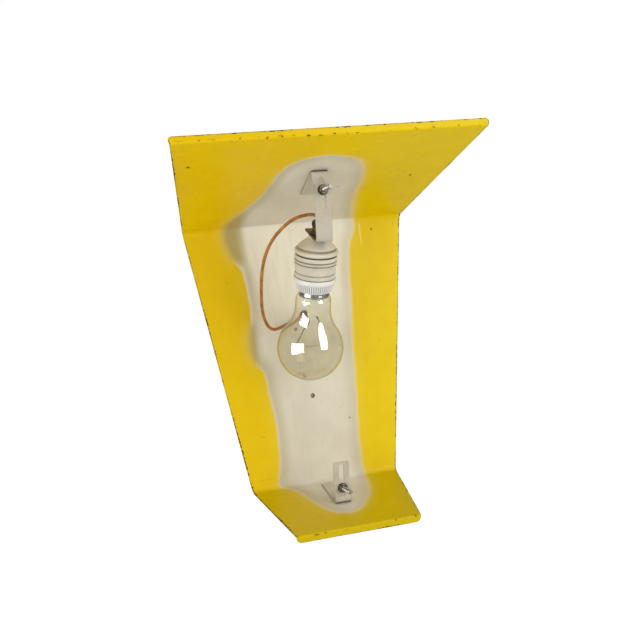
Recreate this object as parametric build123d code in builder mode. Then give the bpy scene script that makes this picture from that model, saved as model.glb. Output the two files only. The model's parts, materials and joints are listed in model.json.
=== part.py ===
from build123d import *
import math
import os

# Open wall lamp: one tapering sheet folded twice, with a bulb on a slotted strap.
# Frame: +Z up, +Y towards the back, origin at the centre of the upright panel's rear face.
# Sizes are in mm and degrees. "Top" and "bottom" name the two flanges and what they carry.

os.makedirs("parts", exist_ok=True)

# ---------------------------------------------------------------- body sizes
SHEET = 1.2                 # body sheet thickness
PANEL_H = 242.0             # crease to crease
HALF_W_TOP = 106.0          # half width of the panel at the top crease
HALF_W_BOT = 70.0           # half width of the panel at the bottom crease
TOP_FLANGE = 168.0          # crease to lip, along the top flange
TOP_SLOPE = 16.0            # rise of the top flange towards the front
BOT_FLANGE = 97.0           # crease to lip, along the bottom flange
BOT_SLOPE = 17.0            # fall of the bottom flange towards the front
LIP = 6.5                   # lip height
CREASE_R = 6.0              # front-side radius of the two big folds
LIP_R = 2.2                 # front-side radius of the lip folds
LIP_CORNER_R = 3.5          # rounding of the lips' free corners
BLANK_HALF_W = 140.0        # half width of the sheet before its sides are trimmed
TRIM_W = 120.0              # width of the side trim
TRIM_FRONT = 2.0            # side trim's reach in front of the sheet's front face
TRIM_OVERRUN = 5.0          # side trim's run past the lips' free edges
LIP_TRIM_DEPTH = 1.7        # side trim's reach behind the front face, near the lips
CREASE_TRIM_DEPTH = 3.6     # the same at the two creases

# panel holes: x, z, radius
CABLE_HOLE = (-2.4, 35.0, 3.5)
LOW_HOLE = (-2.5, -41.0, 2.2)       # wall screw hole
HIGH_HOLE = (-11.7, 22.9, 1.8)      # small hole beside the cable hole

# ---------------------------------------------------------------- bracket and strap sizes
STRIP = 1.5                 # bracket and strap thickness
STRIP_W = 14.4              # bracket and strap width
SLOT_W = 4.5                # slot width for M4
STRIP_R = 2.6               # fold radius on the centreline of the strips
KNEE_R = 12.0               # centreline radius of the bottom tab's slight bend
BRACKET_CORNER_R = 1.2      # rounding of the brackets' free corners
TOP_FOLD = 107.0            # bracket fold to crease, along the top flange
BOT_FOLD = 50.0             # bracket fold to crease, along the bottom flange
LEG_LEN = 42.0              # bracket leg on the flange
TOP_TAB = 38.0              # tab height, top bracket
BOT_TAB = 37.2              # tab height, bottom bracket
TAB_FWD = 3.0               # tab front face in front of the fold line
TAB_START = 3.4             # distance past the fold where each tab is positioned
TOP_LEAN = 3.0              # top tab leans back going down
BOT_LEAN = 3.0              # bottom tab leans forward going up
BOT_LEAN_END = 17.0         # upper end of the bottom tab, bent forward
BOT_KNEE = 22.0             # height of that slight bend
TOP_X = -0.6                # sideways place of the top bracket
BOT_X = 0.8                 # sideways place of the bottom bracket
TOP_SLOT_MID, TOP_SLOT_LEN = 20.75, 29.5    # slot centre past the fold, and overall length
BOT_SLOT_MID, BOT_SLOT_LEN = 20.25, 28.5

SWING = -4.0                # strap hangs turned this far about the top screw
STRAP_TOP = 4.5             # strap end above the screw
STRAP_LEN = 43.5            # screw to strap fold
STRAP_RISE = 21.5           # strap leg rises towards the back, from square to the strap
STRAP_LEG = 39.0
NIPPLE_AT = 23.0            # nipple hole from the strap fold, along the leg
NIPPLE_HOLE_R = 5.1
STRAP_SLOT = 16.3           # slot end below the screw

# ---------------------------------------------------------------- M4 fixings
SHANK_R = 1.95
SCREW_L = 25.0
SCREW_CHAMFER = 0.5
HEAD_R, HEAD_H = 3.5, 2.4
DRIVE_W, DRIVE_DEPTH = 1.0, 1.1             # driver slot in the head
NUT_AF, NUT_H = 7.0, 3.2
NUT_BORE = 1.99
WASHER_R, WASHER_BORE, WASHER_T = 4.4, 2.05, 0.8
TOP_PIVOT_Z = 133.7         # height of the top screw
BOT_SCREW_H = 13.4          # bottom screw above the bracket fold


# ---------------------------------------------------------------- directions and places
def sin(degrees):
    return math.sin(math.radians(degrees))


def cos(degrees):
    return math.cos(math.radians(degrees))


TAPER = (HALF_W_TOP - HALF_W_BOT) / PANEL_H
SIDEWAYS = Vector(1, 0, 0)

flange_top = Vector(0, -cos(TOP_SLOPE), sin(TOP_SLOPE))     # along the flanges, to the front
flange_bot = Vector(0, -cos(BOT_SLOPE), -sin(BOT_SLOPE))
inside_top = Vector(0, -sin(TOP_SLOPE), -cos(TOP_SLOPE))    # square to them, into the lamp
inside_bot = Vector(0, -sin(BOT_SLOPE), cos(BOT_SLOPE))
crease_top = Vector(0, -SHEET, PANEL_H / 2)
crease_bot = Vector(0, -SHEET, -PANEL_H / 2)

fold_top = crease_top + flange_top * TOP_FOLD
fold_bot = crease_bot + flange_bot * BOT_FOLD
tab_top = Vector(0, sin(TOP_LEAN), -cos(TOP_LEAN))          # down the top tab
out_top = Vector(0, -cos(TOP_LEAN), -sin(TOP_LEAN))         # out of the tab, to the front
tab_bot = Vector(0, -sin(BOT_LEAN), cos(BOT_LEAN))          # up the bottom tab
out_bot = Vector(0, -cos(BOT_LEAN), -sin(BOT_LEAN))
tab_bot_end = Vector(0, -sin(BOT_LEAN_END), cos(BOT_LEAN_END))

# a point on each tab's centreline, TAB_START above or below the fold
start_top = Vector(TOP_X, fold_top.Y - TAB_FWD + STRIP / 2, fold_top.Z - TAB_START)
start_bot = Vector(BOT_X, fold_bot.Y - TAB_FWD + STRIP / 2, fold_bot.Z + TAB_START)

# where the screws cross the tabs' centrelines
pivot = start_top + tab_top * ((start_top.Z - TOP_PIVOT_Z) / cos(TOP_LEAN))
stud_bot = start_bot + tab_bot * (BOT_SCREW_H - TAB_START)

# strap frame: down the strap, across it and back from it
down = tab_top * cos(SWING) + SIDEWAYS * sin(SWING)
across = SIDEWAYS * cos(SWING) - tab_top * sin(SWING)
back = out_top * -1
strap_origin = pivot + out_top * (STRIP / 2 + WASHER_T + STRIP / 2)
strap_fold = strap_origin + down * STRAP_LEN
strap_leg = back * cos(STRAP_RISE) - down * sin(STRAP_RISE)
lamp_dir = down * cos(STRAP_RISE) + back * sin(STRAP_RISE)  # lamp axis, down towards the bulb
nipple_hole = strap_fold + strap_leg * NIPPLE_AT
# plane through the lamp axis: x is the radius, y runs down the lamp axis
LAMP = Plane(origin=nipple_hole, x_dir=across, z_dir=across.cross(lamp_dir))
LAMP_AXIS = Axis(nipple_hole, lamp_dir)


def square_to_axis(along):
    """Plane square to the lamp axis, this far below the strap leg's centre."""
    return Plane(origin=nipple_hole + lamp_dir * along, x_dir=across, z_dir=lamp_dir)


def lamp_point(x, along, behind=0.0):
    """Point x across, so far down the lamp axis, and so far behind it."""
    return nipple_hole + across * x + lamp_dir * along + across.cross(lamp_dir) * behind


# ---------------------------------------------------------------- shared helpers
def save(part, name):
    part.label = name
    export_step(part, f"parts/{name}.step")


def offset_path(points, distance):
    """Points of a mitred parallel path, distance to the left of travel."""
    out = []
    for i, (x, y) in enumerate(points):
        dirs = []
        if i > 0:
            dirs.append((x - points[i - 1][0], y - points[i - 1][1]))
        if i < len(points) - 1:
            dirs.append((points[i + 1][0] - x, points[i + 1][1] - y))
        normals = []
        for run, rise in dirs:
            length = math.hypot(run, rise)
            normals.append((-rise / length, run / length))
        miter_x = sum(normal[0] for normal in normals)
        miter_y = sum(normal[1] for normal in normals)
        length = math.hypot(miter_x, miter_y)
        miter_x, miter_y = miter_x / length, miter_y / length
        scale = distance / (miter_x * normals[0][0] + miter_y * normals[0][1])
        out.append((x + miter_x * scale, y + miter_y * scale))
    return out


def turn(points, i):
    """Positive where the path turns left at point i."""
    before, here, after = points[i - 1 : i + 2]
    return (here[0] - before[0]) * (after[1] - here[1]) - (
        here[1] - before[1]
    ) * (after[0] - here[0])


def ribbon_section(plane, side_1, radii_1, side_2, radii_2):
    """Closed section between two filleted paths."""
    with BuildSketch(plane, mode=Mode.PRIVATE) as section:
        with BuildLine():
            edge_1 = FilletPolyline(*side_1, radius=radii_1)
            edge_2 = FilletPolyline(*side_2, radius=radii_2)
            Line(edge_1 @ 0, edge_2 @ 0)
            Line(edge_1 @ 1, edge_2 @ 1)
        make_face()
    return section.sketch


def strip_section(plane, path, half, radii):
    """Section of a folded strip, given its centreline, half thickness and fold radii."""
    left_radii, right_radii = [], []
    for i, radius in enumerate(radii, start=1):
        side = 1 if turn(path, i) > 0 else -1
        left_radii.append(radius - side * half)
        right_radii.append(radius + side * half)
    return ribbon_section(
        plane, offset_path(path, half), left_radii, offset_path(path, -half), right_radii
    )


def strip_corners(builder):
    """Edges through the strip's thickness at its free corners."""
    return builder.edges().filter_by(lambda edge: abs(edge.length - STRIP) < 0.01)


# ---------------------------------------------------------------- folded body
lip_fold_top = crease_top + flange_top * TOP_FLANGE
lip_fold_bot = crease_bot + flange_bot * BOT_FLANGE
body_points = (
    lip_fold_top - inside_top * LIP,
    lip_fold_top,
    crease_top,
    crease_bot,
    lip_fold_bot,
    lip_fold_bot - inside_bot * LIP,
)
front = [(point.Y, point.Z) for point in body_points]
rear = offset_path(front, SHEET)
# half width of the flat blank at each point of the path
HALF_WIDTHS = [
    HALF_W_TOP + TAPER * (TOP_FLANGE + LIP),
    HALF_W_TOP + TAPER * TOP_FLANGE,
    HALF_W_TOP,
    HALF_W_BOT,
    HALF_W_BOT - TAPER * BOT_FLANGE,
    HALF_W_BOT - TAPER * (BOT_FLANGE + LIP),
]
# the four folds from top lip to bottom lip: front radius, bend angle, side trim depth
FOLDS = [
    (LIP_R, 90, LIP_TRIM_DEPTH),
    (CREASE_R, 90 - TOP_SLOPE, CREASE_TRIM_DEPTH),
    (CREASE_R, 90 - BOT_SLOPE, CREASE_TRIM_DEPTH),
    (LIP_R, 90, LIP_TRIM_DEPTH),
]


def trim_section(point, offset, segment, depth):
    """Side trim's rectangle, offset along a segment from a point of the front path."""
    (start_y, start_z), (end_y, end_z) = front[segment], front[segment + 1]
    length = math.hypot(end_y - start_y, end_z - start_z)
    dir_y, dir_z = (end_y - start_y) / length, (end_z - start_z) / length
    y, z = front[point]
    edge_x = HALF_WIDTHS[point] - TAPER * offset
    plane = Plane(
        origin=(0, y + dir_y * offset, z + dir_z * offset),
        x_dir=(1, 0, 0),
        z_dir=(0, dir_y, dir_z),
    )
    with BuildSketch(plane, mode=Mode.PRIVATE) as section:
        with Locations((edge_x + TRIM_W / 2, (TRIM_FRONT - depth) / 2)):
            Rectangle(TRIM_W, TRIM_FRONT + depth)
    return section.sketch.faces()[0]


def side_trim():
    """Solid outside the +X edge of the sheet, following its folds."""
    sections = [trim_section(0, -TRIM_OVERRUN, 0, LIP_TRIM_DEPTH)]
    for i, (radius, bend, depth) in enumerate(FOLDS, start=1):
        setback = radius * math.tan(math.radians(bend / 2))
        sections.append(trim_section(i, -setback, i - 1, depth))
        sections.append(trim_section(i, setback, i, depth))
    sections.append(trim_section(5, TRIM_OVERRUN, 4, LIP_TRIM_DEPTH))
    with BuildPart() as trim:
        loft(sections=sections, ruled=True)
    return trim.part


def folded_body():
    trim = side_trim()
    front_radii = [radius for radius, _, _ in FOLDS]
    # the lips fold towards the rear, the creases towards the front
    rear_radii = [LIP_R - SHEET, CREASE_R + SHEET, CREASE_R + SHEET, LIP_R - SHEET]
    with BuildPart() as body:
        section = ribbon_section(Plane.YZ, front, front_radii, rear, rear_radii)
        extrude(section, amount=BLANK_HALF_W, both=True)
        add(trim, mode=Mode.SUBTRACT)
        add(mirror(trim, Plane.YZ, mode=Mode.PRIVATE), mode=Mode.SUBTRACT)
        # rounded free corners of both lips
        corners = []
        for i in (0, 5):
            for side in (-1, 1):
                near = body.edges().sort_by_distance((side * HALF_WIDTHS[i], *front[i]))[0:3]
                corners.append(near.sort_by(Edge.length)[0])
        # only edges about as long as the sheet is thick are lip corners
        short = [edge for edge in corners if abs(edge.length - SHEET) < 0.4]
        if short:
            fillet(short, LIP_CORNER_R)
        for x, z, radius in (CABLE_HOLE, LOW_HOLE, HIGH_HOLE):
            with BuildSketch(Plane(origin=(x, 1, z), x_dir=(1, 0, 0), z_dir=(0, -1, 0))):
                Circle(radius)
            extrude(amount=4, mode=Mode.SUBTRACT)
    save(body.part, "folded_body")


folded_body()


# ---------------------------------------------------------------- brackets
def line_cross(start_1, dir_1, start_2, dir_2):
    """Where two lines meet, in Y and Z."""
    det = dir_1.Y * -dir_2.Z + dir_2.Y * dir_1.Z
    gap_y, gap_z = start_2.Y - start_1.Y, start_2.Z - start_1.Z
    along = (gap_y * -dir_2.Z + dir_2.Y * gap_z) / det
    return (start_1.Y + dir_1.Y * along, start_1.Z + dir_1.Z * along)


def leg_path(fold, flange, inside, tab_start, tab):
    """Centreline of a bracket's leg on the flange: its free end, then its fold."""
    end = fold - flange * LEG_LEN + inside * (STRIP / 2)
    return [(end.Y, end.Z), line_cross(end, flange, tab_start, tab)]


def bracket(name, x, path, radii, slot_mid, slot_len, tab, out, cut_reach):
    with BuildPart() as piece:
        section = strip_section(Plane.YZ.offset(x), path, STRIP / 2, radii)
        extrude(section, amount=STRIP_W / 2, both=True)
        with BuildSketch(Plane(origin=slot_mid, x_dir=tab, z_dir=out)):
            SlotOverall(slot_len, SLOT_W)
        extrude(amount=cut_reach, both=True, mode=Mode.SUBTRACT)
        fillet(strip_corners(piece), BRACKET_CORNER_R)
    save(piece.part, name)


tab_end = start_top + tab_top * (TOP_TAB - TAB_START)
bracket(
    "top_bracket",
    TOP_X,
    leg_path(fold_top, flange_top, inside_top, start_top, tab_top) + [(tab_end.Y, tab_end.Z)],
    [STRIP_R],
    start_top + tab_top * (TOP_SLOT_MID - TAB_START),
    TOP_SLOT_LEN,
    tab_top,
    out_top,
    cut_reach=2,
)

knee = start_bot + tab_bot * (BOT_KNEE - TAB_START)
tab_end = knee + tab_bot_end * (BOT_TAB - BOT_KNEE)
bracket(
    "bottom_bracket",
    BOT_X,
    leg_path(fold_bot, flange_bot, inside_bot, start_bot, tab_bot)
    + [(knee.Y, knee.Z), (tab_end.Y, tab_end.Z)],
    [STRIP_R, KNEE_R],
    start_bot + tab_bot * (BOT_SLOT_MID - TAB_START),
    BOT_SLOT_LEN,
    tab_bot,
    out_bot,
    cut_reach=6,    # also clears the end that bends forward
)


# ---------------------------------------------------------------- screws, nuts and washers
def stud_plane(origin, out, distance):
    """Plane square to a screw, this far in front of the tab's centre."""
    return Plane(origin=origin + out * distance, x_dir=SIDEWAYS, z_dir=out)


def screw(name, origin, out):
    """Slotted screw with its head behind the tab."""
    with BuildPart() as piece:
        with BuildSketch(stud_plane(origin, out, -STRIP / 2)):
            Circle(HEAD_R)
        extrude(amount=-HEAD_H)
        with BuildSketch(stud_plane(origin, out, -STRIP / 2)):
            Circle(SHANK_R)
        extrude(amount=SCREW_L)
        with BuildSketch(stud_plane(origin, out, -STRIP / 2 - HEAD_H)):
            Rectangle(2 * HEAD_R + 1, DRIVE_W)
        extrude(amount=DRIVE_DEPTH, mode=Mode.SUBTRACT)
        tip = origin + out * (SCREW_L - STRIP / 2)
        circles = piece.edges().filter_by(GeomType.CIRCLE)
        chamfer(circles.sort_by_distance(tip)[0], SCREW_CHAMFER)
    save(piece.part, name)


def washer(name, plane):
    with BuildPart() as piece:
        with BuildSketch(plane):
            Circle(WASHER_R)
            Circle(WASHER_BORE, mode=Mode.SUBTRACT)
        extrude(amount=WASHER_T)
    save(piece.part, name)


def hex_nut(name, plane, across_flats, bore, height, rotation):
    with BuildPart() as piece:
        with BuildSketch(plane):
            RegularPolygon(across_flats / 2, 6, major_radius=False, rotation=rotation)
            Circle(bore, mode=Mode.SUBTRACT)
        extrude(amount=height)
    save(piece.part, name)


TOP_STACK = STRIP / 2 + WASHER_T + STRIP        # front face of the strap
BOT_STACK = STRIP / 2                           # front face of the bottom tab

screw("top_screw", pivot, out_top)
screw("bottom_screw", stud_bot, out_bot)
washer("friction_washer", stud_plane(pivot, out_top, STRIP / 2))
washer("top_washer", stud_plane(pivot, out_top, TOP_STACK))
washer("bottom_washer", stud_plane(stud_bot, out_bot, BOT_STACK))
top_nut_plane = stud_plane(pivot, out_top, TOP_STACK + WASHER_T)
hex_nut("top_nut", top_nut_plane, NUT_AF, NUT_BORE, NUT_H, rotation=12)
bottom_nut_plane = stud_plane(stud_bot, out_bot, BOT_STACK + WASHER_T)
hex_nut("bottom_nut", bottom_nut_plane, NUT_AF, NUT_BORE, NUT_H, rotation=25)


# ---------------------------------------------------------------- lamp strap
def lamp_strap():
    # x to the back, y up the strap
    side_plane = Plane(origin=strap_origin, x_dir=back, z_dir=across)
    path = [
        (0, STRAP_TOP),
        (0, -STRAP_LEN),
        (STRAP_LEG * cos(STRAP_RISE), -STRAP_LEN + STRAP_LEG * sin(STRAP_RISE)),
    ]
    slot_len = STRAP_SLOT + SLOT_W / 2
    slot_mid = strap_origin + down * (STRAP_SLOT - slot_len / 2)
    # free ends: point, distance that takes in both corners, corner radius
    ends = [
        (strap_origin - down * STRAP_TOP, 12, 3.0),
        (strap_fold + strap_leg * STRAP_LEG, 9, 2.0),
    ]
    with BuildPart() as piece:
        section = strip_section(side_plane, path, STRIP / 2, [STRIP_R])
        extrude(section, amount=STRIP_W / 2, both=True)
        with BuildSketch(Plane(origin=slot_mid, x_dir=down, z_dir=out_top)):
            SlotOverall(slot_len, SLOT_W)
        extrude(amount=2, both=True, mode=Mode.SUBTRACT)
        with BuildSketch(square_to_axis(0)):
            Circle(NIPPLE_HOLE_R)
        extrude(amount=3, both=True, mode=Mode.SUBTRACT)
        for point, near, radius in ends:
            corners = strip_corners(piece)
            fillet([edge for edge in corners if (edge.center() - point).length < near], radius)
    save(piece.part, "lamp_strap")


lamp_strap()


# ---------------------------------------------------------------- lampholder
# Half sections about the lamp axis are tables of (radius, distance down the axis).
def profile(points):
    """Closed half section on the lamp axis plane."""
    with BuildSketch(LAMP, mode=Mode.PRIVATE) as half:
        with BuildLine():
            Polyline(*points, close=True)
        make_face()
    return half.sketch


def turned(name, points):
    """Piece turned about the lamp axis."""
    with BuildPart() as piece:
        revolve(profile(points), axis=LAMP_AXIS)
    save(piece.part, name)


turned("nipple", [
    (3.5, -8.0), (4.6, -8.0), (4.95, -7.6), (4.95, 7.1), (4.6, 7.5), (3.5, 7.5),
])
hex_nut("nipple_nut", square_to_axis(-STRIP / 2), 13.0, 5.0, -2.6, rotation=8)
turned("cord_grip", [
    (1.9, -12.4), (3.6, -12.4), (4.9, -11.6), (5.5, -10.4), (5.5, -8.05),
    (3.4, -8.05), (3.4, -4.0), (1.6, -4.0), (1.6, -11.0),
])
turned("holder_dome", [
    (5.05, 0.78), (6.9, 0.78), (7.3, 1.2), (7.3, 2.4), (9.0, 4.0), (15.6, 9.6), (17.2, 11.3),
    (17.5, 12.0), (17.4, 12.5), (18.1, 12.7), (18.8, 13.3), (19.05, 14.2), (19.05, 15.4),
    (18.8, 16.2), (18.2, 16.7), (17.0, 16.7), (17.0, 14.0), (16.3, 11.9), (15.0, 10.6),
    (8.4, 5.0), (6.4, 3.8), (5.05, 3.8),
])
turned("holder_skirt", [
    (16.3, 17.0), (17.6, 17.0), (18.3, 17.5), (18.35, 19.2),
    (18.75, 19.9), (18.75, 20.6), (17.9, 21.5), (17.9, 21.9), (18.65, 22.8), (18.65, 23.4),
    (17.75, 24.4), (17.75, 24.8), (18.45, 25.6), (18.45, 26.2), (17.9, 27.0),
    (17.85, 32.6), (17.45, 33.1), (17.45, 33.5), (17.95, 34.0), (17.95, 36.9), (17.5, 37.5),
    (16.3, 37.5),
])

TERMINAL_AT = 9.6           # terminal screws from the lamp axis
FIXING_AT = 11.6            # shell fixing screws from the lamp axis
PASSAGE_AT = 6.0            # wire passages from the lamp axis
INSERT_HOLE_R = 1.6
SMALL_SHANK_R = 1.45        # shank of the terminal and fixing screws


def holder_insert():
    with BuildPart() as piece:
        revolve(profile([
            (0, 13.2), (16.0, 13.2), (16.2, 13.4), (16.2, 29.0), (14.8, 29.0), (14.8, 18.0),
            (0, 18.0),
        ]), axis=LAMP_AXIS)
        # wire passages and the seats of the terminal and fixing screws
        with BuildSketch(square_to_axis(10)):
            for radius, angle in ((TERMINAL_AT, 0), (PASSAGE_AT, 90), (FIXING_AT, 90)):
                with PolarLocations(radius, 2, start_angle=angle):
                    Circle(INSERT_HOLE_R)
        extrude(amount=12, mode=Mode.SUBTRACT)
    save(piece.part, "holder_insert")


holder_insert()
turned("screw_shell", [
    (13.45, 18.1), (14.7, 18.1), (14.7, 28.6), (14.35, 28.6), (14.2, 28.0),
    (14.2, 27.2), (13.9, 26.3), (13.9, 25.4), (14.2, 24.5), (14.2, 23.6), (13.9, 22.7),
    (13.9, 21.8), (14.2, 20.9), (14.2, 18.6), (13.45, 18.6),
])


def centre_spring():
    """Sprung strip that meets the bulb's centre contact."""
    path = [(-7.4, 18.35), (6.0, 18.35), (-1.6, 27.6), (1.6, 27.6), (4.0, 25.6)]
    with BuildPart() as piece:
        extrude(strip_section(LAMP, path, 0.2, [0.9, 1.0, 0.8]), amount=2.4, both=True)
    save(piece.part, "centre_spring")


def terminal_screws():
    """Two terminal screws, with their slotted heads on the cable side of the insert."""
    seat, head_r, head_h = 13.15, 2.6, 1.7
    with BuildPart() as piece:
        for radius, height in ((head_r, -head_h), (SMALL_SHANK_R, 4.8)):
            with BuildSketch(square_to_axis(seat)):
                with PolarLocations(TERMINAL_AT, 2, start_angle=0):
                    Circle(radius)
            extrude(amount=height)
        with BuildSketch(square_to_axis(seat - head_h)):
            with PolarLocations(TERMINAL_AT, 2, start_angle=0):
                Rectangle(6, 0.8)
        extrude(amount=0.7, mode=Mode.SUBTRACT)
    save(piece.part, "terminal_screws")


def insert_screws():
    """Two screws through the insert floor that carry the shell, heads on the bulb side."""
    with BuildPart() as piece:
        for radius, height in ((1.8, 1.2), (SMALL_SHANK_R, -6.0)):
            with BuildSketch(square_to_axis(18.65)):
                with PolarLocations(FIXING_AT, 2, start_angle=90):
                    Circle(radius)
            extrude(amount=height)
    save(piece.part, "insert_screws")


def porcelain_ring():
    """Ribbed porcelain ring screwed into the mouth of the skirt."""
    ribs = 54
    # grooves between the ribs: start down the axis, distance from the axis, groove radius
    grooves = [(43.4, 18.9, 0.62), (45.3, 17.55, 0.55)]
    with BuildPart() as piece:
        revolve(profile([
            (14.55, 29.6), (15.6, 29.6), (16.2, 30.0), (16.2, 37.65), (18.2, 37.65),
            (18.75, 38.3), (18.8, 42.2), (18.3, 43.4), (15.9, 49.2), (15.2, 49.6), (14.5, 49.4),
            (14.1, 47.0), (14.1, 31.0),
        ]), axis=LAMP_AXIS)
        for start, from_axis, radius in grooves:
            with BuildSketch(square_to_axis(start)):
                with PolarLocations(from_axis, ribs):
                    Circle(radius)
            extrude(amount=9, mode=Mode.SUBTRACT)
    save(piece.part, "porcelain_ring")


centre_spring()
terminal_screws()
insert_screws()
porcelain_ring()

# ---------------------------------------------------------------- bulb
THREAD_PITCH = 3.63
thread = [(12.2, 31.4)]
for i in range(4):
    crest = 32.4 + i * THREAD_PITCH
    thread += [(13.0, crest), (13.2, crest + 0.9), (13.0, crest + 1.8), (12.3, crest + 2.7)]
turned("bulb_cap", [(11.8, 30.9)] + thread + [
    (13.1, 47.6), (13.2, 50.2), (13.6, 52.2), (13.9, 53.0), (14.0, 54.6), (13.6, 55.0),
    (13.35, 55.0), (13.35, 53.2), (12.75, 50.6), (11.9, 47.0), (11.9, 32.2), (11.0, 31.4),
])
turned("cap_insulator", [
    (5.0, 29.0), (8.0, 29.0), (11.0, 30.6), (11.0, 31.35), (10.6, 31.9), (5.0, 31.9),
])
turned("bulb_contact", [
    (0, 27.85), (3.4, 27.85), (4.7, 28.6), (4.95, 29.0), (4.95, 30.4), (0, 30.4),
])

GLOBE_AT = 105.0            # centre of the round part, along the lamp axis
GLOBE_R = 30.0
GLASS_WALL = 0.8
JOIN_ANGLE = 52             # where the neck meets the globe, from the axis on the cap side
MID_ANGLE = 115             # a point halfway round the globe's arc
# outside of the neck, from the cap to the globe: radius, distance down the axis
NECK_START, NECK_MID, NECK_END = (13.3, 55.2), (15.3, 60.0), (17.8, 74.0)


def globe_point(radius, angle):
    return (radius * sin(angle), GLOBE_AT - radius * cos(angle))


def bulb_glass():
    inner_r = GLOBE_R - GLASS_WALL
    inner_start = (NECK_START[0] - GLASS_WALL, NECK_START[1])
    inner_mid = (NECK_MID[0] - GLASS_WALL, NECK_MID[1])
    inner_end = (NECK_END[0] - GLASS_WALL, NECK_END[1] + 0.25)
    outer_join = globe_point(GLOBE_R, JOIN_ANGLE)
    inner_join = globe_point(inner_r, JOIN_ANGLE)
    outer_tip = (0, GLOBE_AT + GLOBE_R)
    inner_tip = (0, GLOBE_AT + inner_r)
    with BuildPart() as piece:
        with BuildSketch(LAMP):
            with BuildLine():
                Spline(
                    NECK_START, NECK_MID, NECK_END, outer_join,
                    tangents=[(0.05, 1), (cos(JOIN_ANGLE), sin(JOIN_ANGLE))],
                )
                ThreePointArc(outer_join, globe_point(GLOBE_R, MID_ANGLE), outer_tip)
                Line(outer_tip, inner_tip)
                ThreePointArc(inner_tip, globe_point(inner_r, MID_ANGLE), inner_join)
                Spline(
                    inner_join, inner_end, inner_mid, inner_start,
                    tangents=[(-cos(JOIN_ANGLE), -sin(JOIN_ANGLE)), (-0.05, -1)],
                )
                # rim inside the cap
                Polyline(
                    inner_start, (12.3, 53.4), (11.0, 51.4), (11.6, 50.9), (13.1, 53.2),
                    NECK_START,
                )
            make_face()
        revolve(axis=LAMP_AXIS)
    save(piece.part, "bulb_glass")


bulb_glass()
# glass stem: flare, tube and pinch that holds the wires
turned("bulb_stem", [
    (0, 56.0), (3.6, 56.0), (6.4, 53.6), (10.2, 51.6), (10.9, 52.2), (7.2, 54.4), (4.6, 57.6),
    (4.4, 70.0), (3.9, 74.0), (3.0, 80.0), (1.6, 81.6), (0, 81.8),
])


def wires(name, radius, runs):
    """Round wires swept along splines, each run given as (points, end tangents or None)."""
    with BuildPart() as piece:
        for points, tangents in runs:
            with BuildLine() as path:
                Spline(*points, tangents=tangents)
            with BuildSketch(Plane(origin=path.line @ 0, z_dir=path.line % 0)):
                Circle(radius)
            sweep(path=path.line)
    save(piece.part, name)


# lead wires: across, down the lamp axis
LEADS = [
    [(-2.1, 81.4), (-5.2, 84.5), (-9.0, 93.0), (-12.6, 100.6)],
    [(2.1, 81.4), (5.6, 84.5), (8.4, 93.0), (11.3, 99.9)],
]
wires("lead_wires", 0.35, [([lamp_point(*point) for point in lead], None) for lead in LEADS])

# filament: across, down the lamp axis before the shift, behind the axis
FILAMENT_SHIFT = 0.6        # whole filament moved down the axis
FILAMENT = [
    (-13.0, 101.5, 0), (-8.5, 103.4, 0.8), (-3.0, 104.3, 1.4),
    (3.0, 104.0, 1.4), (8.0, 102.8, 0.8), (11.6, 100.8, 0),
]
filament_points = [lamp_point(x, s + FILAMENT_SHIFT, behind) for x, s, behind in FILAMENT]
wires("filament", 0.3, [(filament_points, None)])

# ---------------------------------------------------------------- cable, cores and grommet
CABLE_R = 1.45
# distances up the lamp axis of the cable's straight start, through the cord grip
CABLE_START = [4.2, 6.3, 8.4, 10.5, 12.6]
# free run of the cable: x, y, z
CABLE = [
    (-12.6, -87.6, 116.5), (-26.4, -80.4, 112.1), (-39.9, -70.0, 99.2), (-47.8, -57.0, 78.8),
    (-49.2, -44.0, 55.5), (-46.1, -31.0, 34.5), (-37.1, -22.0, 24.6), (-25.5, -16.2, 26.6),
    (-15.0, -12.6, 30.6), (-6.2, -9.4, 34.2),
]
# y of the cable's straight end, through the panel
CABLE_END = [-4.6, -3.4, -2.2, -1.2, -0.2]
HOLE_X, HOLE_Z, HOLE_R = CABLE_HOLE


def cable():
    start = [nipple_hole + lamp_dir * -along for along in CABLE_START]
    with BuildPart() as piece:
        with BuildLine() as path:
            Spline(
                *start,
                nipple_hole + lamp_dir * -14.6 - across * 0.5,
                *CABLE,
                *[(HOLE_X, y, HOLE_Z) for y in CABLE_END],
                tangents=[lamp_dir * -1, (0, 1, 0)],
            )
        with BuildSketch(Plane(origin=start[0], x_dir=across, z_dir=lamp_dir * -1)):
            Circle(CABLE_R)
        sweep(path=path.line)
    save(piece.part, "cable")


cable()

# two cores from the end of the sheath to the terminal screws: across, down the lamp axis
CORE = [(0.75, -4.1), (0.9, 4.0), (3.4, 9.0), (6.5, 11.6)]
wires("cable_cores", 0.45, [
    (
        [lamp_point(x * side, along) for x, along in CORE],
        [lamp_dir, across * side + lamp_dir * 0.25],
    )
    for side in (-1, 1)
])


def cable_grommet():
    # radius from the hole's centre, y
    points = [
        (1.65, -0.3), (1.9, -0.05), (HOLE_R - 0.4, -0.05), (HOLE_R - 0.05, -0.4),
        (HOLE_R - 0.05, -SHEET - 0.05), (4.7, -SHEET - 0.05), (4.7, -SHEET - 0.6),
        (4.1, -SHEET - 1.2), (2.9, -SHEET - 1.5), (2.2, -SHEET - 1.5), (1.65, -SHEET - 0.9),
    ]
    centre = (HOLE_X, 0, HOLE_Z)
    with BuildPart() as piece:
        with BuildSketch(Plane(origin=centre, x_dir=(1, 0, 0), z_dir=(0, 0, 1))):
            with BuildLine():
                Polyline(*points, close=True)
            make_face()
        revolve(axis=Axis(centre, (0, 1, 0)))
    save(piece.part, "cable_grommet")


cable_grommet()
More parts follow.
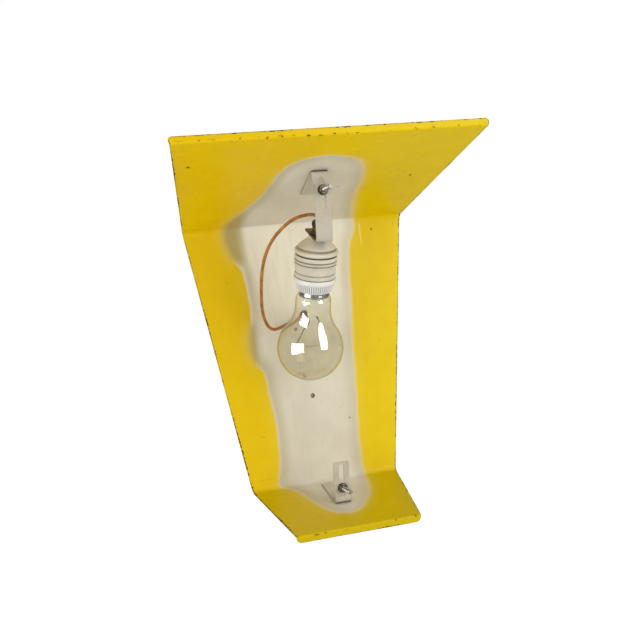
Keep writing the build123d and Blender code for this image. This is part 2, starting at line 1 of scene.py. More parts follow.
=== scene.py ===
"""Wall lamp: a folded yellow sheet with a bare bulb on a swinging, tilting strap.

The frame is in metres with x to the right, y to the rear and z up. The panel stands upright with
its back near y = 0; its flanges, the strap and the bulb are in front of it, towards -y.
Sizes below are in mm unless a comment says otherwise; MM turns them into metres.
"""
import json
import math
from collections import namedtuple
from functools import reduce

import bmesh
import bpy
import numpy as np
from mathutils import Matrix, Vector


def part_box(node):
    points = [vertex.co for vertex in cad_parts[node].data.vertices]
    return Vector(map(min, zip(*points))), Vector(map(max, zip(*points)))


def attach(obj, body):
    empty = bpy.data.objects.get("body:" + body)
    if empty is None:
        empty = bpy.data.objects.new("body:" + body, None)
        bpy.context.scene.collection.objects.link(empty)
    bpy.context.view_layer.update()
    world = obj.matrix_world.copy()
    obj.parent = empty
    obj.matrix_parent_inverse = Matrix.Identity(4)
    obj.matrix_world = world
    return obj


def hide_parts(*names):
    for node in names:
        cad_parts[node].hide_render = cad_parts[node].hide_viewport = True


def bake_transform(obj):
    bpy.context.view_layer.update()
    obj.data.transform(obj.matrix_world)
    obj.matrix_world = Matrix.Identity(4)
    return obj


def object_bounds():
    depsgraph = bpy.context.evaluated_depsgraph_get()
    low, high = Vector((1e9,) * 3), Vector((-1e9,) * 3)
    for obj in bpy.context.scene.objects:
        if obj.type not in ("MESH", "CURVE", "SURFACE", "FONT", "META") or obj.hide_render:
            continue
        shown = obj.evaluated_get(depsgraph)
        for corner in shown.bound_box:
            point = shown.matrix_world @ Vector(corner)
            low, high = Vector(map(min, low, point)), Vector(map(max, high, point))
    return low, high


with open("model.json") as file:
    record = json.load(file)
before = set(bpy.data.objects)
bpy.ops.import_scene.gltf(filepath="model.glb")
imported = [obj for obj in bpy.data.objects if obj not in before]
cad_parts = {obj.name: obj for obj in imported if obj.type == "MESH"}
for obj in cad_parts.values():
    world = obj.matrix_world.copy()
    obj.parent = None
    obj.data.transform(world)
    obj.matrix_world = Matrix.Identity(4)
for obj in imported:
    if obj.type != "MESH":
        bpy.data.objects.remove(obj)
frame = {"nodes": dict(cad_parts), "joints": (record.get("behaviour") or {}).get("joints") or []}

MM = 0.001
scene = bpy.context.scene
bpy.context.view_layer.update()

# ---------------------------------------------------------------- directions and places
# A shaft is a line that round parts are built on: origin (metres), unit direction, zero angle.
Shaft = namedtuple("Shaft", "origin along across")
joints = {j["name"]: j for j in frame["joints"]}


def joint_place(name):
    return Vector(joints[name]["pos_m"])


def joint_axis(name):
    return Vector(joints[name]["axis"]).normalized()


RIGHT = Vector((1, 0, 0))
TOP_STUD = Shaft(joint_place("arm_swing"), joint_axis("arm_swing"), RIGHT)
BOTTOM_STUD = Shaft(joint_place("bottom_nut_turn"), joint_axis("bottom_nut_turn"), RIGHT)
lamp_across = (-TOP_STUD.along).cross(joint_axis("strap_slide")).normalized()
LAMP = Shaft(joint_place("bulb_turn"), joint_axis("bulb_turn"), lamp_across)
lamp_rear = LAMP.across.cross(LAMP.along).normalized()

grommet_lo, grommet_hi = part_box("cable_grommet")
CABLE_X = (grommet_lo.x + grommet_hi.x) / 2 / MM
CABLE_Z = (grommet_lo.z + grommet_hi.z) / 2 / MM
GROMMET = Shaft(Vector((CABLE_X * MM, 0, CABLE_Z * MM)), Vector((0, 1, 0)), RIGHT)

# round holes through the panel: x, z, radius
HOLES = [(CABLE_X, CABLE_Z, 3.5), (-2.5, -41.0, 2.2), (-11.7, 22.9, 1.8)]
SHEET = 1.2             # thickness of the folded sheet
RIBS = 54               # flutes round the porcelain ring
BULB_CENTRE = 105.0     # along the lamp from the nipple hole
BULB_RADIUS = 30.0


def lamp_point(x, s, rear=0.0):
    """x across the lamp, s down its axis and `rear` to the rear of it."""
    return LAMP.origin + (LAMP.across * x + LAMP.along * s + lamp_rear * rear) * MM


# ---------------------------------------------------------------- shader nodes
class Tree:
    """Builds one node tree; most methods return an output socket.

    A grain is a noise's (scale, detail, roughness). A ramp is the pair of input values
    between which a smooth step goes from to[0] to to[1].
    """

    def __init__(self, owner, output):
        owner.use_nodes = True
        self.owner = owner
        self.nodes = owner.node_tree.nodes
        self.nodes.clear()
        self.output = self.nodes.new(output)

    def finish(self, shader):
        self.put(self.output.inputs[0], shader)
        return self.owner

    def put(self, socket, value):
        if isinstance(value, bpy.types.NodeSocket):
            self.owner.node_tree.links.new(value, socket)
        elif socket.type == "RGBA":
            socket.default_value = (*value[:3], 1.0)
        else:
            socket.default_value = value

    def node(self, kind, inputs=None, **settings):
        node = self.nodes.new("ShaderNode" + kind)
        for key, value in settings.items():
            setattr(node, key, value)
        for key, value in (inputs or {}).items():
            self.put(node.inputs[key], value)
        return node

    def math(self, operation, *values, clamp=False):
        inputs = dict(enumerate(values))
        return self.node("Math", inputs, operation=operation, use_clamp=clamp).outputs[0]

    def add(self, a, b):
        return self.math("ADD", a, b)

    def sub(self, a, b):
        return self.math("SUBTRACT", a, b)

    def mul(self, a, b):
        return self.math("MULTIPLY", a, b)

    def max(self, a, b):
        return self.math("MAXIMUM", a, b)

    def vector_math(self, operation, a, b, output="Value"):
        return self.node("VectorMath", {0: a, 1: b}, operation=operation).outputs[output]

    def offset(self, a, b):
        return self.vector_math("SUBTRACT", a, b, "Vector")

    def dot(self, a, b):
        return self.vector_math("DOT_PRODUCT", a, b)

    def distance(self, a, b):
        return self.vector_math("DISTANCE", a, b)

    def mix(self, amount, a, b):
        """Colour a, going to b."""
        return self.node("Mix", {0: amount, 6: a, 7: b}, data_type="RGBA").outputs[2]

    def mix_value(self, amount, a, b):
        return self.node("Mix", {0: amount, 2: a, 3: b}, data_type="FLOAT").outputs[0]

    def mix_shader(self, amount, a, b):
        return self.node("MixShader", {0: amount, 1: a, 2: b}).outputs[0]

    def step(self, x, ramp, to=(0.0, 1.0)):
        inputs = {0: x, 1: ramp[0], 2: ramp[1], 3: to[0], 4: to[1]}
        return self.node("MapRange", inputs, interpolation_type="SMOOTHSTEP").outputs[0]

    def noise(self, vector, grain, distortion=0.0):
        scale, detail, roughness = grain
        inputs = {"Vector": vector, "Scale": scale, "Detail": detail,
                  "Roughness": roughness, "Distortion": distortion}
        return self.node("TexNoise", inputs).outputs[0]

    def centred(self, vector, grain):
        """Noise about zero."""
        return self.sub(self.noise(vector, grain), 0.5)

    def mask(self, vector, grain, ramp, to=(0.0, 1.0)):
        return self.step(self.noise(vector, grain), ramp, to)

    def stain(self, base, colour, vector, grain, ramp, strength):
        """Base colour, stained where the noise is high."""
        return self.mix(self.mask(vector, grain, ramp, (0, strength)), base, colour)

    def cells(self, vector, scale):
        inputs = {"Vector": vector, "Scale": scale}
        return self.node("TexVoronoi", inputs, feature="F1").outputs["Distance"]

    def coords(self, kind="Object"):
        return self.node("TexCoord").outputs[kind]

    def scaled(self, vector, scale):
        return self.node("Mapping", {"Vector": vector, "Scale": scale}).outputs[0]

    def part(self, vector, index):
        """One component of a vector: 0 is x, 1 is y, 2 is z."""
        return self.node("SeparateXYZ", {0: vector}).outputs[index]

    def attribute(self, name):
        return self.node("Attribute", attribute_name=name).outputs["Fac"]

    def rays(self):
        return self.node("LightPath").outputs

    def occlusion(self, samples, distance):
        """1 in the open, towards 0 in corners closer than `distance` metres."""
        inputs = {"Distance": distance}
        return self.node("AmbientOcclusion", inputs, samples=samples).outputs["AO"]

    def bump(self, height, strength, distance):
        inputs = {"Strength": strength, "Distance": distance, "Height": height}
        return self.node("Bump", inputs).outputs[0]

    def clear(self, colour):
        return self.node("BsdfTransparent", {"Color": colour}).outputs[0]

    def emission(self, colour, strength):
        return self.node("Emission", {"Color": colour, "Strength": strength}).outputs[0]

    def principled(self, **inputs):
        named = {key.replace("_", " "): value for key, value in inputs.items()}
        return self.node("BsdfPrincipled", named).outputs[0]


def material_tree(name):
    return Tree(bpy.data.materials.new(name), "ShaderNodeOutputMaterial")


def scaled_colour(colour, gain):
    return tuple(x * gain for x in colour)


# ---------------------------------------------------------------- paint of the folded sheet
# single dark specks on the unfolded sheet: x, flat coordinate, size
SPECKS = [
    (75.3, 109.9, 0.9), (65.6, 105.9, 0.35), (-70.4, 72.3, 0.45), (30.7, -66.2, 0.75),
    (23.5, -55.3, 0.3), (98.3, 112.8, 0.4), (-53.4, -72.6, 0.5), (-66.8, 271.9, 0.4),
    (69.4, 2.9, 0.35), (68.4, 228.3, 0.4), (-9.2, -47.5, 0.25), (3.9, -47.9, 0.3)]


def enamel_colour(t, flat, solid, flat_x, haze, fuzzy):
    # painted light: the yellow turns lighter and greener towards the right
    painted_light_to_right = t.step(flat_x, ramp=(-0.09, 0.10))
    yellow = t.mix(painted_light_to_right, (0.775, 0.505, 0.0), (0.785, 0.570, 0.0))
    yellow = t.stain(yellow, (0.83, 0.585, 0.0), solid,
                     grain=(9, 3, 0.5), ramp=(0.3, 0.7), strength=0.5)
    yellow = t.stain(yellow, (0.70, 0.45, 0.0), solid,
                     grain=(60, 4, 0.6), ramp=(0.35, 0.75), strength=0.25)
    # faint vertical wipe marks and dull smudges
    yellow = t.stain(yellow, (0.84, 0.62, 0.012), t.scaled(flat, (160, 16, 1)),
                     grain=(1.0, 4, 0.6), ramp=(0.55, 0.8), strength=0.22)
    yellow = t.stain(yellow, (0.60, 0.38, 0.0), flat,
                     grain=(26, 5, 0.65), ramp=(0.60, 0.78), strength=0.30)
    # painted shade: the flange that faces up is darkened, as it gets less light
    dust_and_shade = t.step(t.part(flat, 1), ramp=(-0.117, -0.127), to=(0, 0.62))
    yellow = t.mix(dust_and_shade, yellow, (0.55, 0.40, 0.0))
    # powdery overspray round the patch
    overspray = t.mul(haze, t.mix_value(fuzzy, 0.08, 0.20))
    return t.mix(overspray, yellow, (0.80, 0.66, 0.20))


def primer_colour(t, flat, flat_x, inside, wander, thin):
    cream = t.mix(t.mask(flat, grain=(18, 4, 0.6), ramp=(0.3, 0.72)),
                  (0.665, 0.61, 0.475), (0.755, 0.70, 0.56))
    streak = t.noise(t.scaled(flat, (210, 22, 1)), grain=(1.0, 5, 0.62))
    cream = t.mix(t.step(streak, ramp=(0.5, 0.78), to=(0, 0.35)), cream, (0.56, 0.51, 0.39))
    cream = t.stain(cream, (0.47, 0.40, 0.27), flat,
                    grain=(95, 5, 0.7), ramp=(0.60, 0.80), strength=0.35)
    # painted light: the cream on the upper part of the panel is paler, as it is more lit
    flat_y = t.part(flat, 1)
    thick = t.mul(t.step(t.add(flat_y, t.mul(wander, 0.04)), ramp=(-0.015, 0.075)),
                  t.step(flat_y, ramp=(0.1250, 0.1232)))
    pale = t.mix(t.step(streak, ramp=(0.42, 0.78)), (0.905, 0.855, 0.69), (0.80, 0.75, 0.59))
    cream = t.mix(t.mul(thick, 0.80), cream, pale)
    # a dark rim, stronger on the left half
    rim = t.mul(t.step(inside, ramp=(-1.0, 3.0)), t.step(inside, ramp=(3.0, 14.0), to=(1.0, 0.0)))
    left = t.step(flat_x, ramp=(0.0, -0.02))
    cream = t.mix(t.mul(rim, t.mix_value(left, 0.30, 0.46)), cream, (0.43, 0.35, 0.16))
    cream = t.mix(thin, cream, t.mix(0.86, cream, (0.44, 0.335, 0.095)))
    dots = t.step(t.cells(flat, scale=420), ramp=(0.10, 0.05), to=(0, 0.5))
    return t.mix(dots, cream, (0.42, 0.36, 0.26))


def highlight_and_specks(t, base, flat, fleck):
    """A painted highlight, a short pale streak beside the patch, and the single dark specks."""
    stretch = 0.055         # squeezes the height, so the round mark becomes a long one
    reach = t.distance(t.scaled(flat, (1.0, stretch, 1.0)), (0.0637, 0.1075 * stretch, 0.0))
    painted_highlight = t.step(t.add(reach, t.mul(fleck, 0.0012)), ramp=(0.0009, 0.0004))
    # painted highlight: a thin, long, pale streak
    base = t.mix(t.mul(painted_highlight, 0.75), base, (0.92, 0.80, 0.22))
    jag = t.mul(t.noise(flat, grain=(1300, 2, 0.6)), 0.0009)
    masks = []
    for x, y, size in SPECKS:
        reach = t.add(t.distance(flat, (x * MM, y * MM, 0.0)), jag)
        masks.append(t.step(reach, ramp=(size * MM + 0.00060, size * MM + 0.00030)))
    return t.mix(t.mul(reduce(t.max, masks), 0.9), base, (0.045, 0.032, 0.015))


def chip_mask(t, flat, edge, ridge):
    """Chips along free edges and the lip bends, and a few on the flats."""
    ragged = t.noise(flat, grain=(330, 5, 0.68))
    where = t.mask(flat, grain=(34, 2, 0.5), ramp=(0.40, 0.62))
    near = t.step(edge, ramp=(0.2, 3.2), to=(1.0, 0.0))
    limit = t.sub(0.80, t.mul(near, t.add(0.19, t.mul(where, 0.16))))
    at_edges = t.step(t.sub(ragged, limit), ramp=(0.0, 0.02))
    at_bends = t.mul(ridge, t.mask(flat, grain=(190, 4, 0.62), ramp=(0.585, 0.61)))
    spots = t.step(t.add(t.cells(flat, scale=30), t.mul(ragged, 0.06)), ramp=(0.080, 0.066))
    on_flats = t.mul(spots, t.mask(flat, grain=(13, 1, 0.5), ramp=(0.48, 0.54)))
    return t.math("MAXIMUM", t.max(at_edges, at_bends), on_flats, clamp=True)


def scratch_mask(t, flat, cover):
    """Hair scratches across and along the sheet, on the bare enamel only."""
    level = t.noise(t.scaled(flat, (45, 900, 1)), grain=(1.0, 2, 0.5), distortion=0.4)
    upright = t.noise(t.scaled(flat, (820, 60, 1)), grain=(1.0, 2, 0.5), distortion=0.6)
    either = t.max(t.step(level, ramp=(0.755, 0.775)), t.step(upright, ramp=(0.765, 0.785)))
    return t.mul(either, t.sub(1.0, cover))


def sheet_paint():
    """Yellow enamel all over, with a sprayed patch of cream primer on the front face."""
    t = material_tree("yellow_enamel_sheet")
    flat = t.node("UVMap", uv_map="flat").outputs[0]
    solid = t.coords()
    patch, edge, thin, ridge, fuzzy = (
        t.attribute(name) for name in ("patch", "edge", "thin", "ridge", "fuzzy"))
    flat_x = t.part(flat, 0)

    # patch edge, mm: slow wander, spray speckle, soft fade
    wander = t.centred(flat, grain=(55, 3, 0.55))
    fleck = t.centred(flat, grain=(900, 3, 0.7))
    inside = t.add(t.add(patch, t.mul(wander, 2.6)), t.mul(fleck, t.mix_value(fuzzy, 1.6, 4.0)))
    cover = t.step(t.math("DIVIDE", inside, t.mix_value(fuzzy, 1.6, 5.5)), ramp=(-1.0, 1.0))
    haze = t.step(inside, ramp=(-13.0, 1.0))

    yellow = enamel_colour(t, flat, solid, flat_x, haze, fuzzy)
    cream = primer_colour(t, flat, flat_x, inside, wander, thin)
    base = highlight_and_specks(t, t.mix(cover, yellow, cream), flat, fleck)

    # a thin, broken brownish line on the free edges, then the chips to dark steel
    worn = t.mul(t.step(edge, ramp=(0.35, 1.25), to=(1.0, 0.0)),
                 t.mask(flat, grain=(70, 4, 0.65), ramp=(0.40, 0.58), to=(0.25, 0.85)))
    base = t.mix(worn, base, (0.23, 0.155, 0.012))
    chip = chip_mask(t, flat, edge, ridge)
    rusty = t.mix(t.noise(flat, grain=(700, 3, 0.6)), (0.035, 0.022, 0.012), (0.17, 0.075, 0.025))
    base = t.mix(chip, base, rusty)
    scratch = scratch_mask(t, flat, cover)
    base = t.mix(t.mul(scratch, 0.55), base, (0.48, 0.27, 0.015))
    # painted shade: the cream darkens in corners near other parts
    painted_sheet_corner_shade = t.step(t.occlusion(6, 0.007), ramp=(0.92, 0.30), to=(0, 0.62))
    base = t.mix(t.mul(painted_sheet_corner_shade, cover), base, (0.16, 0.125, 0.075))

    gloss = t.mask(flat, grain=(40, 4, 0.6), ramp=(0.3, 0.7), to=(0.24, 0.40))
    rough = t.mix_value(cover, gloss, 0.72)
    rough = t.mix_value(chip, rough, 0.85)
    rough = t.mix_value(t.mul(haze, 0.4), rough, 0.6)

    # relief: orange peel, waviness, powdery primer and its thickness, chips, scratches
    height = t.add(t.mul(t.noise(solid, grain=(900, 2, 0.5)), 0.10),
                   t.mul(t.noise(solid, grain=(30, 2, 0.5)), 2.2))
    powder = t.mul(t.noise(flat, grain=(2600, 3, 0.7)), cover)
    height = t.add(height, t.mul(powder, 0.16))
    height = t.add(height, t.mul(cover, 0.22))
    height = t.sub(height, t.mul(chip, 0.7))
    height = t.sub(height, t.mul(scratch, 0.15))
    return t.finish(t.principled(
        Base_Color=base, Roughness=rough,
        Normal=t.bump(height, strength=0.45, distance=0.00022),
        Specular_IOR_Level=t.mix_value(cover, 0.13, 0.14), Metallic=t.mul(chip, 0.35)))


# ---------------------------------------------------------------- the other materials
def painted_groove_shade(t, base, solid, grooves):
    """Painted shade in grooves round the lamp: from, to (mm along its axis) and strength."""
    along = t.dot(t.offset(solid, LAMP.origin), LAMP.along)
    along = t.add(along, t.mul(t.centred(solid, grain=(240, 3, 0.6)), 0.0007))
    fade = 0.12
    for start, end, strength in grooves:
        band = t.mul(t.step(along, ramp=((start - fade) * MM, (start + fade) * MM)),
                     t.step(along, ramp=((end + fade) * MM, (end - fade) * MM)))
        # painted shade darkens each groove
        base = t.mix(t.mul(band, strength), base, (0.115, 0.085, 0.040))
    return base


def bare_leg_mask(t, solid):
    """The strap's leg with the nipple, whose fold is 23 mm in front of the nipple hole."""
    leg = lamp_rear
    if leg.dot(TOP_STUD.along) > 0:
        leg = -leg
    from_fold = t.offset(solid, LAMP.origin - leg * 0.023)
    along = t.dot(from_fold, leg)
    ragged = t.mul(t.centred(solid, grain=(300, 3, 0.6)), 0.004)
    below = t.dot(from_fold, LAMP.along)
    return t.mul(t.step(t.add(along, ragged), ramp=(0.0020, 0.0042)),
                 t.step(below, ramp=(-0.0045, -0.0030)))


def cream_paint(name, gain=1.0, dark_leg=False, grooves=()):
    """Brushed-on cream paint over steel, worn at places, with painted shade in corners; gain scales
    the colour, and a gain below 1 is painted shade.
    """
    t = material_tree(name)
    solid = t.coords()
    tone = t.noise(solid, grain=(45, 4, 0.6))
    base = t.mix(t.step(tone, ramp=(0.3, 0.7)), scaled_colour((0.60, 0.545, 0.425), gain),
                 scaled_colour((0.70, 0.65, 0.52), gain))
    base = t.stain(base, (0.40, 0.34, 0.24), solid,
                   grain=(420, 4, 0.65), ramp=(0.60, 0.76), strength=0.45)
    base = t.stain(base, (0.36, 0.29, 0.17), solid,
                   grain=(140, 5, 0.7), ramp=(0.58, 0.80), strength=0.5)
    # painted shade in corners
    painted_corner_shade = t.step(t.occlusion(6, 0.0022), ramp=(0.86, 0.42), to=(0, 0.88))
    base = t.mix(painted_corner_shade, base, (0.11, 0.08, 0.045))
    if grooves:
        base = painted_groove_shade(t, base, solid, grooves)
    bare, metallic = 0.0, 0.0
    if dark_leg:
        bare = bare_leg_mask(t, solid)
        metallic = t.mul(bare, 0.55)
        brown = t.mix(t.noise(solid, grain=(500, 5, 0.7)),
                      (0.055, 0.034, 0.017), (0.24, 0.15, 0.075))
        base = t.mix(bare, base, brown)
    worn = t.mask(solid, grain=(260, 5, 0.66), ramp=(0.69, 0.72))
    base = t.mix(worn, base, (0.20, 0.16, 0.11))
    # relief: brush marks, fine grit, worn places sunk
    height = t.add(t.mul(t.noise(solid, grain=(380, 3, 0.6)), 0.8),
                   t.mul(t.noise(solid, grain=(1500, 2, 0.6)), 0.25))
    height = t.sub(height, t.mul(worn, 0.5))
    rough = t.mix_value(bare, t.step(tone, ramp=(0.3, 0.7), to=(0.46, 0.62)), 0.5)
    return t.finish(t.principled(
        Base_Color=base, Roughness=rough, Specular_IOR_Level=0.32, Metallic=metallic,
        Normal=t.bump(height, strength=0.5, distance=0.00012)))


def metal(name, dark, light, rough, spots=None, grime=0.45, bump=0.25, metallic=1.0):
    """Metal between two tones, with stains of the `spots` colour."""
    t = material_tree(name)
    solid = t.coords()
    base = t.mix(t.mask(solid, grain=(260, 4, 0.6), ramp=(0.3, 0.7)), dark, light)
    stain = t.noise(solid, grain=(620, 5, 0.7))
    base = t.mix(t.step(stain, ramp=(0.56, 0.74), to=(0, grime)), base,
                 spots or scaled_colour(dark, 0.35))
    # painted shade in corners
    painted_corner_shade = t.step(t.occlusion(4, 0.0012), ramp=(0.75, 0.25), to=(0, 0.7))
    base = t.mix(painted_corner_shade, base, scaled_colour(dark, 0.18))
    return t.finish(t.principled(
        Base_Color=base,
        Roughness=t.mask(solid, grain=(800, 3, 0.6), ramp=(0.3, 0.7), to=rough),
        Metallic=t.step(stain, ramp=(0.56, 0.80), to=(metallic, metallic * 0.6)),
        Normal=t.bump(t.noise(solid, grain=(1400, 3, 0.6)), strength=bump, distance=0.00005)))


def plastic(name, dark, light, rough, bump, specular=0.5, coat=0.0, texture=500):
    t = material_tree(name)
    solid = t.coords()
    base = t.mix(t.mask(solid, grain=(160, 4, 0.6), ramp=(0.3, 0.7)), dark, light)
    dust_and_shade = tuple(min(1, x * 1.9 + 0.02) for x in light)
    base = t.stain(base, dust_and_shade, solid, grain=(900, 3, 0.65), ramp=(0.62, 0.78), strength=0.4)
    return t.finish(t.principled(
        Base_Color=base, Specular_IOR_Level=specular, Coat_Weight=coat, Coat_Roughness=0.08,
        Roughness=t.mask(solid, grain=(300, 3, 0.6), ramp=(0.3, 0.7),
                         to=(rough * 0.8, rough * 1.25)),
        Normal=t.bump(t.noise(solid, grain=(texture, 3, 0.6)), strength=bump, distance=0.00008)))


def painted_flute_shade(t, base, solid):
    """Painted shade between the flutes of the porcelain ring."""
    place = t.offset(solid, LAMP.origin)
    side = LAMP.along.cross(LAMP.across).normalized()
    angle = t.math("ARCTAN2", t.dot(place, side), t.dot(place, LAMP.across))
    wave = t.math("COSINE", t.mul(angle, float(RIBS)))
    along = t.dot(place, LAMP.along)
    zone = t.mul(t.step(along, ramp=(0.0417, 0.0426)), t.step(along, ramp=(0.0494, 0.0486)))
    # painted shade between the flutes
    dirt_and_shade = t.mul(t.mul(t.step(wave, ramp=(-0.1, 0.6)), zone), 0.72)
    return t.mix(dirt_and_shade, base, (0.30, 0.29, 0.27))


def porcelain(name, fluted=False):
    t = material_tree(name)
    solid = t.coords()
    base = t.mix(t.mask(solid, grain=(90, 4, 0.6), ramp=(0.3, 0.7)),
                 (0.80, 0.79, 0.745), (0.88, 0.87, 0.83))
    base = t.stain(base, (0.45, 0.42, 0.36), solid,
                   grain=(700, 4, 0.7), ramp=(0.64, 0.80), strength=0.35)
    # painted shade in corners
    painted_corner_shade = t.step(t.occlusion(4, 0.0012), ramp=(0.85, 0.35), to=(0, 0.6))
    base = t.mix(painted_corner_shade, base, (0.30, 0.28, 0.25))
    if fluted:
        base = painted_flute_shade(t, base, solid)
    return t.finish(t.principled(
        Base_Color=base, Specular_IOR_Level=0.5, Coat_Weight=0.4, Coat_Roughness=0.06,
        Roughness=t.mask(solid, grain=(250, 3, 0.6), ramp=(0.3, 0.7), to=(0.14, 0.26)),
        Normal=t.bump(t.noise(solid, grain=(500, 2, 0.5)), strength=0.15, distance=0.00008)))


def refracting(t, solid, colour):
    ripple = t.bump(t.noise(solid, grain=(70, 2, 0.5)), strength=0.06, distance=0.0004)
    inputs = {"Color": colour, "Roughness": 0.0, "IOR": 1.46, "Normal": ripple}
    return t.node("BsdfGlass", inputs).outputs[0]


def lets_light_in(t, glass, tint):
    """Shadow and diffuse rays pass straight through to what is inside."""
    rays = t.rays()
    soft = t.max(rays["Is Shadow Ray"], rays["Is Diffuse Ray"])
    return t.mix_shader(soft, glass, t.clear(scaled_colour(tint, 0.97)))


def stem_glass():
    t = material_tree("clear_glass_stem")
    tint = (0.96, 0.965, 0.95)
    return t.finish(lets_light_in(t, refracting(t, t.coords(), tint), tint))


def bulb_glass():
    """Thin glass, smoked on the round part, clear in the neck and at its outline, dusty."""
    t = material_tree("clear_glass_bulb")
    tint = (0.952, 0.945, 0.905)
    solid = t.coords()
    facing = t.node("LayerWeight", {"Blend": 0.5}).outputs["Facing"]
    along = t.dot(t.offset(solid, LAMP.origin), LAMP.along)
    smoked = t.mix(t.step(along, ramp=(0.072, 0.094)), (0.982, 0.980, 0.962), tint)
    colour = t.mix(t.step(facing, ramp=(0.40, 0.86)), smoked, (0.985, 0.985, 0.950))
    outline = t.step(facing, ramp=(0.68, 0.90), to=(0, 0.90))
    glass = t.mix_shader(outline, refracting(t, solid, colour), t.clear((0.925, 0.935, 0.850)))
    glass = lets_light_in(t, glass, tint)
    # dusty film with specks, and a few rusty brown drips low on the left front
    film = t.add(t.mask(solid, grain=(42, 5, 0.65), ramp=(0.40, 0.80), to=(0.015, 0.10)),
                 t.step(t.cells(solid, scale=330), ramp=(0.14, 0.06), to=(0, 0.22)))
    reach = t.distance(solid, lamp_point(-11.8, 122.3, -21.5))
    drips = t.mul(t.step(reach, ramp=(0.0070, 0.0030)),
                  t.mask(solid, grain=(520, 3, 0.6), ramp=(0.50, 0.60)))
    dirt_and_shade = t.principled(
        Roughness=0.8, Base_Color=t.mix(drips, (0.42, 0.38, 0.27), (0.27, 0.11, 0.055)))
    return t.finish(t.mix_shader(t.max(film, t.mul(drips, 0.5)), glass, dirt_and_shade))


def cable_plastic():
    t = material_tree("cable_sheath_gloss")
    solid = t.coords()
    base = t.mix(t.mask(solid, grain=(120, 4, 0.6), ramp=(0.3, 0.7)),
                 (0.30, 0.105, 0.007), (0.50, 0.205, 0.016))
    base = t.stain(base, (0.16, 0.058, 0.010), solid,
                   grain=(700, 4, 0.65), ramp=(0.60, 0.78), strength=0.5)
    return t.finish(t.principled(
        Base_Color=base, Specular_IOR_Level=0.45, Coat_Weight=0.22, Coat_Roughness=0.12,
        Roughness=t.mask(solid, grain=(260, 3, 0.6), ramp=(0.3, 0.7), to=(0.20, 0.34)),
        Normal=t.bump(t.noise(solid, grain=(520, 3, 0.6)), strength=0.3, distance=0.0001)))


# painted shade in the grooves of the lampholder shell: from, to along the lamp, strength
SHELL_GROOVES = [(10.7, 12.4, 0.66), (16.1, 17.75, 0.92), (21.3, 22.0, 0.42),
                 (24.3, 24.9, 0.30), (32.9, 33.6, 0.35), (36.95, 37.7, 0.80)]

Finish = namedtuple("Finish", "material slot")
ENAMEL = Finish(sheet_paint(), "yellow_enamel")
# painted shade: the brackets' and strap's cream is darkened by a gain below 1
CREAM = Finish(cream_paint("cream_paint_metal", gain=0.84), "cream_paint")
STRAP = Finish(cream_paint("cream_paint_strap", gain=0.80, dark_leg=True), "cream_paint")
SHELL = Finish(cream_paint("cream_paint_holder", grooves=SHELL_GROOVES), "cream_paint")
ZINC = Finish(metal("zinc_steel_bright", (0.52, 0.51, 0.48), (0.70, 0.69, 0.66),
                    rough=(0.18, 0.34), spots=(0.13, 0.11, 0.09), grime=0.6), "zinc_steel")
DARK = Finish(metal("dark_steel_washer", (0.13, 0.115, 0.095), (0.22, 0.195, 0.165),
                    rough=(0.30, 0.5), spots=(0.07, 0.04, 0.02)), "dark_steel")
DARK_BRASS = Finish(metal("brass_darkened", (0.20, 0.135, 0.055), (0.30, 0.21, 0.09),
                          rough=(0.32, 0.5), spots=(0.05, 0.03, 0.015), grime=0.7), "brass")
BRASS = Finish(metal("brass_aged", (0.56, 0.40, 0.15), (0.70, 0.52, 0.22),
                     rough=(0.25, 0.42), spots=(0.22, 0.12, 0.05)), "brass")
CAP = Finish(metal("cap_metal_nickel", (0.60, 0.59, 0.56), (0.76, 0.75, 0.72),
                   rough=(0.10, 0.24), grime=0.3, bump=0.15), "cap_metal")
WIRE = Finish(metal("wire_metal_grey", (0.050, 0.045, 0.038), (0.11, 0.10, 0.085),
                    rough=(0.30, 0.45), metallic=0.7), "wire_metal")
NUT = Finish(metal("nut_steel_dull", (0.20, 0.185, 0.155), (0.34, 0.315, 0.27),
                   rough=(0.24, 0.40), spots=(0.06, 0.045, 0.03), grime=0.7), "zinc_steel")
COPPER = Finish(metal("copper_wire_cores", (0.70, 0.32, 0.17), (0.80, 0.42, 0.24),
                      rough=(0.22, 0.36), spots=(0.20, 0.08, 0.04)), "copper_wire")
BLACK = Finish(plastic("black_plastic_moulded", (0.018, 0.016, 0.014), (0.034, 0.030, 0.026),
                       rough=0.42, bump=0.3), "black_plastic")
RUBBER = Finish(plastic("dark_rubber_soft", (0.022, 0.017, 0.013), (0.040, 0.031, 0.024),
                        rough=0.62, bump=0.5, specular=0.35, texture=900), "dark_rubber")
PORCELAIN = Finish(porcelain("white_porcelain_glaze"), "white_porcelain")
RIBBED = Finish(porcelain("white_porcelain_ribbed", fluted=True), "white_porcelain")
BLACK_GLASS = Finish(plastic("black_glass_vitrite", (0.010, 0.009, 0.012), (0.020, 0.018, 0.022),
                             rough=0.16, bump=0.1, specular=0.6, coat=0.5), "black_glass")
BULB_GLASS = Finish(bulb_glass(), "clear_glass")
STEM_GLASS = Finish(stem_glass(), "clear_glass")
CABLE = Finish(cable_plastic(), "cable_sheath")


# ---------------------------------------------------------------- mesh helpers
def register(part, body, node):
    """Tells the frame which body carries the part and the CAD node it replaces."""
    if body:
        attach(part, body)
    if node:
        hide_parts(node)


def smooth(mesh, sharp):
    """Smooth shading with edges over `sharp` degrees kept sharp."""
    mesh.polygons.foreach_set("use_smooth", [True] * len(mesh.polygons))
    mesh.set_sharp_from_angle(angle=math.radians(sharp))


